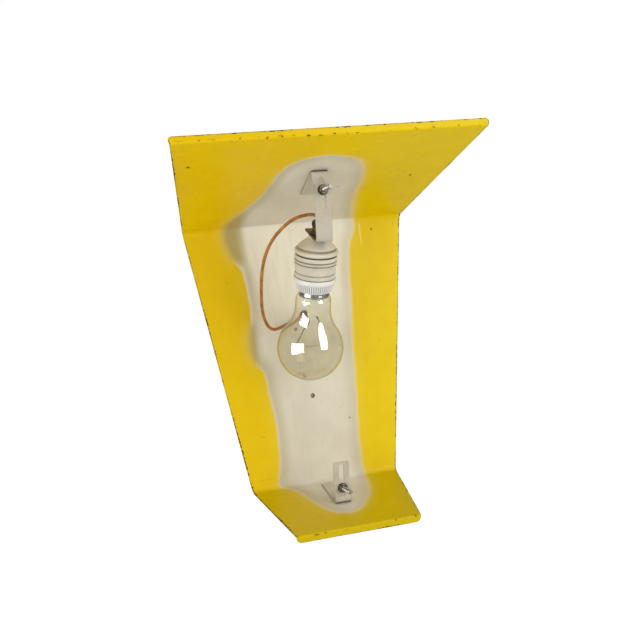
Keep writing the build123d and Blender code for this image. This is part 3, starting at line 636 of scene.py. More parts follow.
def make(name, shape, finish, body=None, node=None, sharp=38.0):
    """Object from a (verts, faces) shape; flat shaded when sharp is None."""
    verts, faces = shape
    mesh = bpy.data.meshes.new(name)
    mesh.from_pydata([tuple(v) for v in verts], [], [tuple(f) for f in faces])
    mesh.validate()
    bm = bmesh.new()
    bm.from_mesh(mesh)
    bmesh.ops.recalc_face_normals(bm, faces=bm.faces)
    bm.to_mesh(mesh)
    bm.free()
    if sharp is None:
        mesh.polygons.foreach_set("use_smooth", [False] * len(mesh.polygons))
    else:
        smooth(mesh, sharp)
    mesh.materials.append(finish.material)
    part = bpy.data.objects.new(name, mesh)
    scene.collection.objects.link(part)
    register(part, body, node)
    return part


def carve(part, cutters, sharp):
    """Cuts the cutters out of the part for good and removes them."""
    for cutter in cutters:
        cut = part.modifiers.new("cut", "BOOLEAN")
        cut.operation = "DIFFERENCE"
        cut.solver = "EXACT"
        cut.object = cutter
    bpy.context.view_layer.update()
    evaluated = part.evaluated_get(bpy.context.evaluated_depsgraph_get())
    mesh = bpy.data.meshes.new_from_object(evaluated)
    part.modifiers.clear()
    whole = part.data
    part.data = mesh
    bpy.data.meshes.remove(whole)
    for cutter in cutters:
        bpy.data.objects.remove(cutter)
    smooth(mesh, sharp)


def loft(rings, closed_loop=False):
    """Faces between rings; a ring is a list of points round the loop, or a single point."""
    verts, index, faces = [], [], []
    for ring in rings:
        index.append((len(verts), len(ring)))
        verts += list(ring)
    pairs = list(zip(index, index[1:]))
    if closed_loop:
        pairs.append((index[-1], index[0]))
    for (a, count_a), (b, count_b) in pairs:
        count = max(count_a, count_b)
        for i in range(count):
            j = (i + 1) % count
            if count_a == 1:
                faces.append((a, b + i, b + j))
            elif count_b == 1:
                faces.append((a + i, b, a + j))
            else:
                faces.append((a + i, b + i, b + j, a + j))
    return verts, faces


def capped_loft(rings):
    """A loft whose first and last rings are closed with one face each."""
    verts, faces = loft(rings)
    count = len(rings[0])
    faces.append(tuple(range(count)))
    faces.append(tuple(range(len(verts) - count, len(verts)))[::-1])
    return verts, faces


def merged(shapes):
    verts, faces = [], []
    for more_verts, more_faces in shapes:
        start = len(verts)
        verts.extend(more_verts)
        faces.extend([tuple(i + start for i in face) for face in more_faces])
    return verts, faces


def clamp(x):
    return min(1.0, max(0.0, x))


def rounded(points, size, closed=True, steps=3):
    """Rounds each corner of a profile by about `size`; points on the axis stay."""
    out = []
    count = len(points)
    for i, point in enumerate(points):
        p = np.array(point, float)
        if (not closed and i in (0, count - 1)) or p[0] < 1e-6:
            out.append(tuple(p))
            continue
        before = np.array(points[i - 1], float) - p
        after = np.array(points[(i + 1) % count], float) - p
        len_before, len_after = np.linalg.norm(before), np.linalg.norm(after)
        cut = min(size, len_before * 0.4, len_after * 0.4)
        start, end = p + before / len_before * cut, p + after / len_after * cut
        for q in np.linspace(0, 1, steps + 1):
            out.append(tuple((1 - q) ** 2 * start + 2 * q * (1 - q) * p + q * q * end))
    return out


def circle(shaft, s, seg, radius):
    """Ring of points round a shaft, s along it; radius may be a function of the angle."""
    side = shaft.along.cross(shaft.across).normalized()
    centre = shaft.origin + shaft.along * (s * MM)
    ring = []
    for i in range(seg):
        angle = 2 * math.pi * i / seg
        reach = radius(angle) if callable(radius) else radius
        outward = shaft.across * math.cos(angle) + side * math.sin(angle)
        ring.append(centre + outward * (reach * MM))
    return ring


def turned_rings(profile, shaft, seg, wobble=None):
    """Rings for a profile of (radius, distance along the shaft)."""
    rings = []
    for r, s in profile:
        if r < 1e-6:
            rings.append([shaft.origin + shaft.along * (s * MM)])
        elif wobble:
            rings.append(circle(shaft, s, seg, lambda angle: r + wobble(angle, s, r)))
        else:
            rings.append(circle(shaft, s, seg, r))
    return rings


def turned(name, profile, shaft, finish, body, node, seg, sharp=38.0, wobble=None):
    """Part turned about a shaft; the profile closes on itself unless it starts on the axis."""
    shape = loft(turned_rings(profile, shaft, seg, wobble), closed_loop=profile[0][0] > 1e-6)
    return make(name, shape, finish, body, node, sharp)


def thread_phase(s, angle, pitch, shift=0.0):
    return (s / pitch - angle / (2 * math.pi) + shift) % 1.0


def vee(phase):
    """V thread: 0 at the root, 1 at the crest."""
    return clamp((abs(phase - 0.5) * 2 - 0.08) / 0.80)


def screw_rings(shaft, start, end, outer, root, pitch, seg, lead_in, lead_out):
    """Right-handed V thread, cut back over the lead lengths at its ends."""
    per_turn = 8
    below_root = 0.1
    count = int(round((end - start) / (pitch / per_turn)))
    rings = []
    for k in range(count + 1):
        s = start + (end - start) * k / count

        def radius(angle):
            r = root + (outer - root) * vee(thread_phase(s, angle, pitch))
            for lead, gone in ((lead_in, s - start), (lead_out, end - s)):
                if gone < lead:
                    r = min(r, root - below_root + gone / lead * (outer - root + below_root))
            return r

        rings.append(circle(shaft, s, seg, radius))
    return rings


def hex_rings(shaft, start, height, levels, flats, turn, corner, slope, seg):
    """Hexagon rings; `corner` (share of the half width) and `slope` chamfer the corners."""
    rings = []
    for level in levels:
        limit = flats / 2 * corner + min(level, height - level) * slope

        def radius(angle):
            from_flat = (angle - math.radians(turn)) % (math.pi / 3) - math.pi / 6
            return min(flats / 2 / math.cos(from_flat), limit)

        rings.append(circle(shaft, start + level, seg, radius))
    return rings


def tube_rings(points, radius, seg):
    """Rings along a path of points in metres, with the zero angle carried along."""
    path = [Vector(p) for p in points]
    last = len(path) - 1
    across = None
    rings = []
    for i, point in enumerate(path):
        along = (path[min(last, i + 1)] - path[max(0, i - 1)]).normalized()
        if across is None:
            across = along.orthogonal().normalized()
        across = (across - along * across.dot(along)).normalized()
        rings.append(circle(Shaft(point, along, across), 0, seg, radius))
    return rings


def tube(points, radius, seg):
    ends = [Vector(points[0])], [Vector(points[-1])]
    return loft([ends[0]] + tube_rings(points, radius, seg) + [ends[1]])


def spline(points, step, start=None, end=None):
    """Cubic curve through points, spaced by chord; start and end are optional end slopes."""
    p = np.array([tuple(q) for q in points], float)
    along = np.r_[0, np.cumsum(np.linalg.norm(np.diff(p, axis=0), axis=1))]
    n = len(along)
    h = np.diff(along)
    system = np.zeros((n, n))
    target = np.zeros((n, p.shape[1]))
    for i in range(1, n - 1):
        system[i, i - 1:i + 2] = h[i - 1], 2 * (h[i - 1] + h[i]), h[i]
        target[i] = 6 * ((p[i + 1] - p[i]) / h[i] - (p[i] - p[i - 1]) / h[i - 1])
    if start is None:
        system[0, 0] = 1
    else:
        system[0, :2] = 2 * h[0], h[0]
        target[0] = 6 * ((p[1] - p[0]) / h[0] - np.array(tuple(start)))
    if end is None:
        system[-1, -1] = 1
    else:
        system[-1, -2:] = h[-1], 2 * h[-1]
        target[-1] = 6 * (np.array(tuple(end)) - (p[-1] - p[-2]) / h[-1])
    bend = np.linalg.solve(system, target)      # second derivatives at the points
    out = []
    for q in np.linspace(0, along[-1], max(2, int(along[-1] / step))):
        i = min(n - 2, max(0, int(np.searchsorted(along, q) - 1)))
        a, b = (along[i + 1] - q) / h[i], (q - along[i]) / h[i]
        curve = ((a ** 3 - a) * bend[i] + (b ** 3 - b) * bend[i + 1]) * h[i] ** 2 / 6
        out.append(a * p[i] + b * p[i + 1] + curve)
    return out


def hole_ring(x, z, radius, y, seg):
    """Circle parallel to the panel at y (metres)."""
    angles = [2 * math.pi * i / seg for i in range(seg)]
    return [Vector(((x + radius * math.cos(a)) * MM, y, (z + radius * math.sin(a)) * MM))
            for a in angles]


# ---------------------------------------------------------------- folded sheet
# The flat coordinate runs up the unfolded sheet, 0 at the panel's middle.
PANEL_HEIGHT, TOP_FLANGE, BOTTOM_FLANGE, LIP = 242.0, 168.0, 97.0, 6.5
TOP_SLOPE, BOTTOM_SLOPE = math.radians(16.0), math.radians(17.0)
HALF_TOP, HALF_BOTTOM = 106.0, 70.0         # half widths at the panel's folds
TAPER = (HALF_TOP - HALF_BOTTOM) / PANEL_HEIGHT
TIP_RADIUS, EDGE_RADIUS = 3.4, 0.42         # outline corners at the lips, edge rounding
FOLD_RADII = [2.2, 6.0, 6.0, 2.2]           # on the front face, top to bottom

# points in the (y, z) plane, on the front face, from the top lip's edge to the bottom lip's
_, body_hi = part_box("folded_body")
front_y = body_hi.y / MM - SHEET
top_out = np.array([-math.cos(TOP_SLOPE), math.sin(TOP_SLOPE)])
bottom_out = np.array([-math.cos(BOTTOM_SLOPE), -math.sin(BOTTOM_SLOPE)])
top_in = np.array([-math.sin(TOP_SLOPE), -math.cos(TOP_SLOPE)])
bottom_in = np.array([-math.sin(BOTTOM_SLOPE), math.cos(BOTTOM_SLOPE)])
panel_top = np.array([front_y, PANEL_HEIGHT / 2])
panel_bottom = np.array([front_y, -PANEL_HEIGHT / 2])
top_tip = panel_top + top_out * TOP_FLANGE
bottom_tip = panel_bottom + bottom_out * BOTTOM_FLANGE
CORNERS = [top_tip - top_in * LIP, top_tip, panel_top,
           panel_bottom, bottom_tip, bottom_tip - bottom_in * LIP]
FLAT = [PANEL_HEIGHT / 2 + TOP_FLANGE + LIP, PANEL_HEIGHT / 2 + TOP_FLANGE, PANEL_HEIGHT / 2,
        -PANEL_HEIGHT / 2, -PANEL_HEIGHT / 2 - BOTTOM_FLANGE,
        -PANEL_HEIGHT / 2 - BOTTOM_FLANGE - LIP]
FLAT_TOP, FLAT_BOTTOM = FLAT[0], FLAT[5]


def unit(v):
    return v / np.linalg.norm(v)


def rearward(heading):
    """Normal from the front face to the rear one, for a heading down the sheet."""
    return np.array([-heading[1], heading[0]])


def rotate(v, angle):
    c, s = math.cos(angle), math.sin(angle)
    return np.array([v[0] * c - v[1] * s, v[0] * s + v[1] * c])


def sheet_stations():
    """Straights and folds from the top lip to the bottom one: (yz point, normal, flat)."""
    fold_steps = 14
    headings = [unit(b - a) for a, b in zip(CORNERS, CORNERS[1:])]
    angles = [math.acos(a @ b) for a, b in zip(headings, headings[1:])]
    trims = [r * math.tan(angle / 2) for r, angle in zip(FOLD_RADII, angles)]
    trims = [0.0] + trims + [0.0]
    out = []
    for i, heading in enumerate(headings):
        start = CORNERS[i] + heading * trims[i]
        end = CORNERS[i + 1] - heading * trims[i + 1]
        flat_start, flat_end = FLAT[i] - trims[i], FLAT[i + 1] + trims[i + 1]
        normal = rearward(heading)
        spacing = 0.8 if i in (0, 4) else 3.2
        count = int(np.ceil(np.linalg.norm(end - start) / spacing))
        for k in range(count + 1):
            share = k / count
            out.append((start + (end - start) * share, normal,
                        flat_start + (flat_end - flat_start) * share))
        if i == 4:
            break
        after = headings[i + 1]
        side = 1 if heading[0] * after[1] - heading[1] * after[0] > 0 else -1
        centre = end + normal * side * FOLD_RADII[i]
        for k in range(1, fold_steps):
            turn = angles[i] * k / fold_steps * side
            out.append((centre + rotate(end - centre, turn), rearward(rotate(heading, turn)),
                        flat_end - 2 * trims[i + 1] * k / fold_steps))
    return out


def tip_stations():
    """Close stations at both lip edges, where the outline and the edge are rounded."""
    out = []
    for d in (0.0, 0.05, 0.15, 0.28, 0.42, 0.7, 1.1, 1.6, 2.2, 2.8, 3.4):
        inward = unit(CORNERS[1] - CORNERS[0])
        out.append((CORNERS[0] + inward * d, rearward(inward), FLAT_TOP - d))
        inward = unit(CORNERS[4] - CORNERS[5])
        out.append((CORNERS[5] + inward * d, rearward(-inward), FLAT_BOTTOM + d))
    return out


def half_width(flat):
    return HALF_TOP + TAPER * (flat - PANEL_HEIGHT / 2)


def corner_cut(radius, distance):
    """How far a rounded corner draws in, `distance` from its end."""
    if distance >= radius:
        return 0.0
    return radius - math.sqrt(max(0.0, radius ** 2 - (radius - distance) ** 2))


def sheet_ring(point, normal, flat):
    """Section across the sheet: front left to right, then back along the rear."""
    tip = min(FLAT_TOP - flat, flat - FLAT_BOTTOM)
    inset = corner_cut(EDGE_RADIUS, tip)
    thick = SHEET - 2 * inset
    edge = min(EDGE_RADIUS, thick * 0.45)
    half = half_width(flat) - corner_cut(TIP_RADIUS, tip) - edge
    near_edge = [half - d for d in (0.0, 0.5, 1.0, 1.7, 2.6, 4.0, 6.0, 9.0)]
    middle = list(np.linspace(-near_edge[-1], near_edge[-1], 46))[1:-1]
    xs = [-x for x in near_edge] + middle + near_edge[::-1]
    right = [(half + edge * math.sin(a), edge - edge * math.cos(a))
             for a in (math.pi / 6, math.pi / 3, math.pi / 2)]
    right += [(half + edge * math.cos(a), thick - edge + edge * math.sin(a))
              for a in (0.0, math.pi / 6, math.pi / 3)]
    section = [(x, 0.0) for x in xs] + right
    section += [(x, thick) for x in xs[::-1]] + [(-x, depth) for x, depth in right[::-1]]
    ring = []
    for x, depth in section:
        y, z = point + normal * (depth + inset)
        ring.append(Vector((x * MM, y * MM, z * MM)))
    return ring


END_ZONE = 3.6      # the tip stations take over this close to a lip edge
rows = [s for s in sheet_stations() if FLAT_BOTTOM + END_ZONE < s[2] < FLAT_TOP - END_ZONE]
rows = sorted(rows + tip_stations(), key=lambda s: -s[2])
sheet = make("folded_sheet", capped_loft([sheet_ring(*row) for row in rows]), ENAMEL, sharp=32.0)
cutters = []
for k, (x, z, radius) in enumerate(HOLES):
    rings = [hole_ring(x, z, radius, y, 48) for y in (-0.006, 0.006)]
    cutters.append(make(f"cut{k}", capped_loft(rings), ENAMEL))
carve(sheet, cutters, sharp=32)


def unfold(points):
    """Flat coordinate, and depth behind the sheet's middle, of (y, z) points."""
    middle = np.array([point + normal * SHEET / 2 for point, normal, _ in rows])
    normals = np.array([row[1] for row in rows])
    flats = np.array([row[2] for row in rows])
    start = middle[:-1]
    span = middle[1:] - start
    length2 = np.maximum((span ** 2).sum(1), 1e-12)
    flat, depth = np.zeros(len(points)), np.zeros(len(points))
    batch = 4000        # keeps the distance tables small
    for i in range(0, len(points), batch):
        c = points[i:i + batch]
        share = np.einsum("nkj,kj->nk", c[:, None, :] - start[None], span) / length2
        share = np.clip(share, 0, 1)
        foot = start[None] + share[..., None] * span[None]
        j = np.linalg.norm(c[:, None, :] - foot, axis=2).argmin(1)
        n = np.arange(len(c))
        flat[i:i + batch] = flats[j] + (flats[j + 1] - flats[j]) * share[n, j]
        depth[i:i + batch] = np.einsum("nj,nj->n", c - foot[n, j], normals[j])
    return flat, depth


# outline of the cream patch on the unfolded sheet: x, flat coordinate
PATCH = np.array([
    (-68.5, 119), (-66, 136), (-58, 154), (-49, 174), (-42.4, 191.7), (-39, 210), (-36.6, 226),
    (-31, 239), (-23, 247.5), (-9.6, 254), (2, 255), (10, 253), (22, 249.5), (32, 242.5),
    (39, 229), (42.0, 214), (44.8, 199), (44.0, 186), (45.6, 171.6), (49, 154), (53.0, 137.6),
    (57, 124), (58.7, 115.8), (56, 106), (52.4, 98.2), (50, 90), (49.2, 81.3), (48, 64),
    (46.8, 43), (44.7, 25), (42, -13), (40.5, -37.7), (39.0, -62.3), (37.4, -86.8), (37.0, -100),
    (37.5, -110), (38.5, -121), (35.8, -138), (32, -153), (26.7, -166), (16.8, -182), (9, -189),
    (2, -192.5), (-9.3, -188.5), (-16, -180), (-19.7, -172), (-26, -151), (-30, -138),
    (-35.5, -127.3), (-42.5, -122.5), (-45.5, -119), (-44.6, -112), (-43.0, -106.4), (-41, -95),
    (-40.4, -82.8), (-40.6, -58.7), (-43.6, -35.8), (-45.8, -15), (-49.5, -9), (-53.5, -3),
    (-56.5, 7.3), (-56.0, 18), (-53.5, 28), (-51.5, 38), (-51.6, 49.9), (-53.0, 68),
    (-55.0, 82), (-58.5, 88), (-62, 93), (-66.5, 101), (-68.8, 110)], float)


def outline_distance(outline, points):
    """Signed distance to a closed outline, positive inside."""
    best = np.full(len(points), 1e9)
    inside = np.zeros(len(points), bool)
    for p, q in zip(outline, np.roll(outline, -1, axis=0)):
        d = q - p
        share = np.clip(((points - p) @ d) / (d @ d), 0, 1)
        best = np.minimum(best, np.linalg.norm(points - (p + share[:, None] * d), axis=1))
        crosses = (p[1] > points[:, 1]) != (q[1] > points[:, 1])
        with np.errstate(divide="ignore", invalid="ignore"):
            crossing_x = p[0] + (points[:, 1] - p[1]) * d[0] / d[1]
        inside ^= crosses & (points[:, 0] < crossing_x)
    return np.where(inside, best, -best)


def soft(x, a, b):
    k = np.clip((x - a) / (b - a), 0, 1)
    return k * k * (3 - 2 * k)


def paint_data(mesh):
    """Attributes and the unfolded UV map that steer the sheet's paint."""
    place = np.array([v.co for v in mesh.vertices], float) / MM
    x = place[:, 0]
    flat, depth = unfold(place[:, 1:])
    rear = depth > 0.1
    flat_points = np.c_[x, flat]
    # the two ears, where the patch reaches out on the left and lies thin
    upper_ear = soft(-x, 46, 56) * soft(flat, 84, 94) * soft(flat, 168, 140)
    lower_ear = soft(-x, 46, 54) * soft(flat, 36, 28) * soft(flat, -12, -4)
    thin = np.maximum(upper_ear, lower_ear)
    # the spray fades slowly on the right, at the ears and low down, and stops sharply elsewhere
    fuzzy = np.maximum(soft(x, 15, 40) * (0.22 + 0.78 * soft(flat, 95, 150)), thin)
    fuzzy = np.maximum(fuzzy, soft(-flat, 112, 135) * 0.7)
    to_ends = np.minimum(FLAT_TOP - flat, flat - FLAT_BOTTOM)
    attributes = {
        "patch": np.where(rear, -60.0, outline_distance(PATCH, flat_points)),
        "edge": np.minimum(half_width(flat) - np.abs(x), to_ends),
        "ridge": np.maximum(*(np.exp(-((flat - FLAT[i]) / 1.6) ** 2) for i in (1, 4))),
        "thin": thin,
        "fuzzy": fuzzy}
    for name, values in attributes.items():
        attribute = mesh.attributes.new(name, "FLOAT", "POINT")
        attribute.data.foreach_set("value", values.astype(np.float32))
    corner_vertex = np.zeros(len(mesh.loops), np.int64)
    mesh.loops.foreach_get("vertex_index", corner_vertex)
    # the rear face's map lies one metre to the side
    uv = np.c_[x * MM + np.where(rear, 1.0, 0.0), flat * MM][corner_vertex]
    layer = mesh.uv_layers.new(name="flat")
    layer.data.foreach_set("uv", uv.astype(np.float32).ravel())


paint_data(sheet.data)
register(sheet, "root", "folded_body")


# ---------------------------------------------------------------- CAD pieces kept
def dress(node, finish, bevel=0.0):
    """Gives a CAD piece its material and, with a bevel (metres), softened edges."""
    piece = frame["nodes"][node]
    piece.data.materials.clear()
    piece.data.materials.append(finish.material)
    if bevel:
        weld = piece.modifiers.new("weld", "WELD")
        weld.merge_threshold = 1e-6
        edges = piece.modifiers.new("soft_edges", "BEVEL")
        edges.width = bevel
        edges.segments = 2
        edges.limit_method = "ANGLE"
        edges.angle_limit = math.radians(40)
        edges.harden_normals = True
        edges.use_clamp_overlap = True


for node, finish in (("top_bracket", CREAM), ("bottom_bracket", CREAM), ("lamp_strap", STRAP)):
    dress(node, finish, bevel=0.00022)
for node, finish in (
        ("holder_insert", PORCELAIN), ("screw_shell", BRASS), ("centre_spring", BRASS),
        ("terminal_screws", BRASS), ("insert_screws", BRASS), ("cable_cores", COPPER),
        ("cap_insulator", BLACK_GLASS), ("bulb_contact", CAP)):
    dress(node, finish)

# ---------------------------------------------------------------- M4 screws, washers, nuts
TAB = 0.75                  # from the stud's origin to the tab's front face
WASHER = 0.8                # washer thickness
STRAP_GAUGE = 1.5           # gap between the friction washer and the top washer
M4_PITCH = 0.7
NUT_HEIGHT, NUT_FLATS, NUT_BORE = 3.2, 7.0, 1.99


def machine_screw(name, node, shaft, body):
    """Slotted pan head screw: head behind the tab, threaded shank to the front."""
    seg, end = 48, 24.25
    head = [(0, -3.15), (1.6, -3.10), (2.6, -2.88), (3.2, -2.45), (3.46, -1.9), (3.5, -1.3),
            (3.46, -0.84), (3.3, -0.76), (2.2, -TAB)]
    rings = turned_rings(head, shaft, seg)
    rings += screw_rings(shaft, -TAB, end, outer=1.95, root=1.60, pitch=M4_PITCH, seg=seg,
                         lead_in=0.0, lead_out=0.6)
    rings += turned_rings([(0, end + 0.02)], shaft, seg)
    screw = make(name, loft(rings), ZINC, sharp=50.0)
    side = shaft.along.cross(shaft.across).normalized()
    box = [shaft.origin + (shaft.across * x + side * y + shaft.along * z) * MM
           for x in (-4.5, 4.5) for y in (-0.5, 0.5) for z in (-4.2, -2.05)]
    box_faces = [(0, 1, 3, 2), (4, 6, 7, 5), (0, 4, 5, 1), (2, 3, 7, 6), (0, 2, 6, 4), (1, 5, 7, 3)]
    slot = make(name + "_cut", (box, box_faces), ZINC, sharp=None)
    carve(screw, [slot], sharp=50)
    register(screw, body, node)


def washer(name, node, shaft, start, body):
    profile = [(2.05, start), (4.4, start), (4.4, start + WASHER), (2.05, start + WASHER)]
    turned(name, rounded(profile, 0.16), shaft, DARK, body, node, seg=64)


def hex_nut(name, node, shaft, start, turn, body):
    """Chamfered hexagon with a countersunk, threaded bore."""
    seg, height = 96, NUT_HEIGHT
    near = [0.0, 0.08, 0.18, 0.30, 0.42, 0.55, 0.8]
    levels = near + [height - level for level in near[::-1]]
    rings = hex_rings(shaft, start, height, levels, flats=NUT_FLATS, turn=turn,
                      corner=0.955, slope=1.73, seg=seg)
    sink, groove, countersink = 0.25, 0.16, NUT_BORE + 0.28
    rings.append(circle(shaft, start + height, seg, countersink))
    count = int(height / 0.12)
    for k in range(count + 1):
        s = start + (height - sink - (height - 2 * sink) * k / count)
        rings.append(circle(shaft, s, seg, lambda angle: NUT_BORE + groove * vee(
            thread_phase(s, angle, M4_PITCH, shift=0.5))))
    rings.append(circle(shaft, start, seg, countersink))
    make(name, loft(rings, closed_loop=True), NUT, body, node, sharp=28.0)


top_stack = TAB + WASHER + STRAP_GAUGE
machine_screw("top_machine_screw", "top_screw", TOP_STUD, "top_stud")
machine_screw("bottom_machine_screw", "bottom_screw", BOTTOM_STUD, "bottom_stud")
washer("friction_washer_ring", "friction_washer", TOP_STUD, TAB, "arm_washer")
washer("top_washer_ring", "top_washer", TOP_STUD, top_stack, "top_lock")
washer("bottom_washer_ring", "bottom_washer", BOTTOM_STUD, TAB, "bottom_lock")
hex_nut("top_hex_nut", "top_nut", TOP_STUD, top_stack + WASHER, 12, "top_nut_body")
hex_nut("bottom_hex_nut", "bottom_nut", BOTTOM_STUD, TAB + WASHER, 25, "bottom_nut_body")


# ---------------------------------------------------------------- nipple, its nut, cord grip
def threaded_nipple():
    start, end, seg = -8.0, 7.5, 56
    rings = screw_rings(LAMP, start, end, outer=4.95, root=4.62, pitch=1.0, seg=seg,
                        lead_in=0.5, lead_out=0.5)
    rings += [circle(LAMP, s, seg, 3.5) for s in (end, 0.0, start)]
    make("threaded_nipple", loft(rings, closed_loop=True), DARK_BRASS, "lamp_arm", "nipple", 50)


def nipple_nut():
    start, end, seg = -3.35, -0.75, 96
    height = end - start
    near = [0, 0.1, 0.25, 0.45, 0.7]
    rings = hex_rings(LAMP, start, height, near + [height - level for level in near[::-1]],
                      flats=13.0, turn=8, corner=0.95, slope=1.6, seg=seg)
    for level, bore in ((height, 5.3), (height - 0.3, 5.0), (0.3, 5.0), (0.0, 5.3)):
        rings.append(circle(LAMP, start + level, seg, bore))
    make("nipple_lock_nut", loft(rings, closed_loop=True), DARK, "lamp_arm", "nipple_nut", 28)


def grip_grooves(angle, s, r):
    """24 shallow grooves down the outside of the cord grip."""
    if r > 4.6 and -11.2 < s < -8.2:
        return -0.16 * (0.5 + 0.5 * math.cos(angle * 24))
    return 0.0


threaded_nipple()
nipple_nut()
# turned profiles list (radius, distance along the shaft)
GRIP = [(1.9, -12.4), (3.6, -12.4), (4.9, -11.6), (5.5, -10.4), (5.5, -8.05), (3.4, -8.05),
        (3.4, -4.0), (1.6, -4.0), (1.6, -11.0)]
turned("cord_grip_cap", rounded(GRIP, 0.35), LAMP, BLACK, "lamp_arm", "cord_grip", seg=72,
       wobble=grip_grooves)

# ---------------------------------------------------------------- lampholder shell and ring
DOME = [
    (5.05, 0.78), (6.9, 0.78), (7.3, 1.2), (7.3, 2.4), (9.0, 4.0), (12.4, 6.9), (15.4, 9.4),
    (16.5, 10.6), (16.6, 11.5), (16.45, 12.2), (17.0, 12.55), (18.0, 12.7), (18.8, 13.3),
    (19.05, 14.2), (19.05, 15.4), (18.8, 16.0), (18.0, 16.45), (17.0, 16.5), (17.0, 14.0),
    (16.3, 11.9), (15.0, 10.6), (8.4, 5.0), (6.4, 3.8), (5.05, 3.8)]
SKIRT = [
    (16.3, 17.3), (17.3, 17.3), (18.2, 17.8), (18.25, 19.0), (18.85, 19.8), (18.85, 20.7),
    (17.65, 21.5), (17.6, 21.9), (18.75, 22.7), (18.75, 23.5), (17.5, 24.4), (17.5, 24.8),
    (18.5, 25.5), (18.5, 26.3), (17.85, 27.1), (17.8, 32.4), (17.15, 33.0), (17.15, 33.5),
    (17.95, 34.0), (17.95, 36.9), (17.5, 37.5), (16.3, 37.5)]
turned("holder_dome_shell", rounded(DOME, 0.45), LAMP, SHELL, "lamp_arm", "holder_dome",
       seg=128, sharp=50)
turned("holder_skirt_shell", rounded(SKIRT, 0.35), LAMP, SHELL, "lamp_arm", "holder_skirt",
       seg=128, sharp=50)

# ribbed ring: smooth collar, fluted taper below it, then the mouth and the inside
FLUTE_START, FLUTE_END, FLUTE_DEPTH = 41.8, 49.5, 0.62
COLLAR = [(14.55, 29.6), (15.6, 29.6), (16.2, 30.0), (16.2, 37.65), (18.2, 37.65), (18.75, 38.3),
          (18.8, 39.6), (18.8, 40.9), (18.2, FLUTE_START)]
TAPER_LEVELS = (42.0, 42.3, 42.7, 43.4, 44.5, 45.5, 46.5, 47.5, 48.5, 49.1)
RING_INSIDE = [(15.85, 49.4), (15.5, 49.6), (15.2, 49.6), (14.6, 49.4), (14.2, 48.2),
               (14.1, 47.0), (14.1, 31.0)]


def flutes(angle, s, r):
    if r < 15.0:        # the inside stays round
        return 0.0
    fade = clamp((s - FLUTE_START) / 0.8) * clamp((FLUTE_END - s) / 0.5)
    return -FLUTE_DEPTH * fade * clamp((math.cos(angle * RIBS) + 0.25) * 1.6)


ring_profile = rounded(COLLAR, 0.3, closed=False)
ring_profile += [(18.15 - (s - FLUTE_START) * 0.29, s) for s in TAPER_LEVELS]
turned("porcelain_ring_ribbed", ring_profile + RING_INSIDE, LAMP, RIBBED, "ring",
       "porcelain_ring", seg=RIBS * 8, sharp=60, wobble=flutes)

# ---------------------------------------------------------------- bulb
CAP_START = [(10.9, 30.95), (11.8, 30.9), (12.2, 31.2)]
CAP_REST = [
    (12.6, 47.3), (12.95, 47.8), (13.12, 48.6), (13.2, 50.2), (13.3, 51.1), (13.6, 52.2),
    (13.85, 52.8), (13.98, 53.4), (14.0, 54.4), (13.9, 54.8), (13.6, 55.0), (13.38, 55.0),
    (13.35, 53.2), (12.75, 50.6), (11.9, 47.0), (11.9, 32.2), (11.0, 31.4)]


def screw_cap():
    """Cap with a rounded thread that fades out at both ends."""
    pitch, root, depth = 3.63, 12.4, 0.88
    start, end, count, seg = 31.4, 46.9, 60, 96
    rings = turned_rings(CAP_START, LAMP, seg)
    for k in range(count + 1):
        s = start + (end - start) * k / count
        fade = min(1.0, (s - 31.2) / 1.2, (47.2 - s) / 1.2)
        rings.append(circle(LAMP, s, seg, lambda angle: root + depth * fade * (
            0.5 + 0.5 * math.cos(2 * math.pi * thread_phase(s, angle, pitch)))))
    rings += turned_rings(CAP_REST, LAMP, seg)
    make("bulb_screw_cap", loft(rings, closed_loop=True), CAP, "bulb", "bulb_cap", 50)


# neck of the envelope: distance along the lamp, radius
NECK = [(55.2, 13.3), (56.2, 15.0), (58.4, 15.75), (65.0, 16.05), (71.5, 16.6), (77.5, 18.35)]
MOUTH = [(13.1, 53.2), (11.6, 50.9), (11.2, 51.7), (12.4, 53.4)]


def envelope():
    """Glass: a curved neck that runs into a sphere, with a wall of even thickness."""
    wall, sphere_steps = 0.7, 56
    join = math.radians(52)         # on the sphere, measured from the lamp's axis
    on_sphere = (BULB_CENTRE - BULB_RADIUS * math.cos(join), BULB_RADIUS * math.sin(join))
    neck = spline(NECK + [on_sphere], 0.9, start=(0.5, 1.0), end=(math.sin(join), math.cos(join)))
    outer = [(r, s) for s, r in neck]
    for k in range(1, sphere_steps + 1):
        a = join + (math.pi - join) * k / sphere_steps
        r = BULB_RADIUS * math.sin(a) if k < sphere_steps else 0.0
        outer.append((r, BULB_CENTRE - BULB_RADIUS * math.cos(a)))
    outer = np.array(outer)
    slope = np.gradient(outer, axis=0)
    inward = np.c_[-slope[:, 1], slope[:, 0]]
    inward /= np.linalg.norm(inward, axis=1)[:, None]
    inner = outer + inward * wall
    profile = [tuple(p) for p in outer[::-1]] + MOUTH
    profile += [tuple(p) for p in inner[:-1]] + [(0.0, float(inner[-1, 1]))]
    turned("bulb_envelope", profile, LAMP, BULB_GLASS, "bulb", "bulb_glass", seg=128, sharp=60)


STEM = [(0, 56.0), (3.6, 56.0), (6.4, 53.6), (10.2, 51.6), (10.9, 52.2), (7.2, 54.4), (4.6, 57.6),
        (4.4, 70.0), (3.9, 74.0), (3.0, 80.0), (1.6, 81.6), (0, 81.8)]


def pinch(angle, s, r):
    """Flattens the far end of the stem."""
    return r * 0.42 * clamp((s - 68.0) / 8.0) * (math.cos(angle) ** 2 - 0.62)


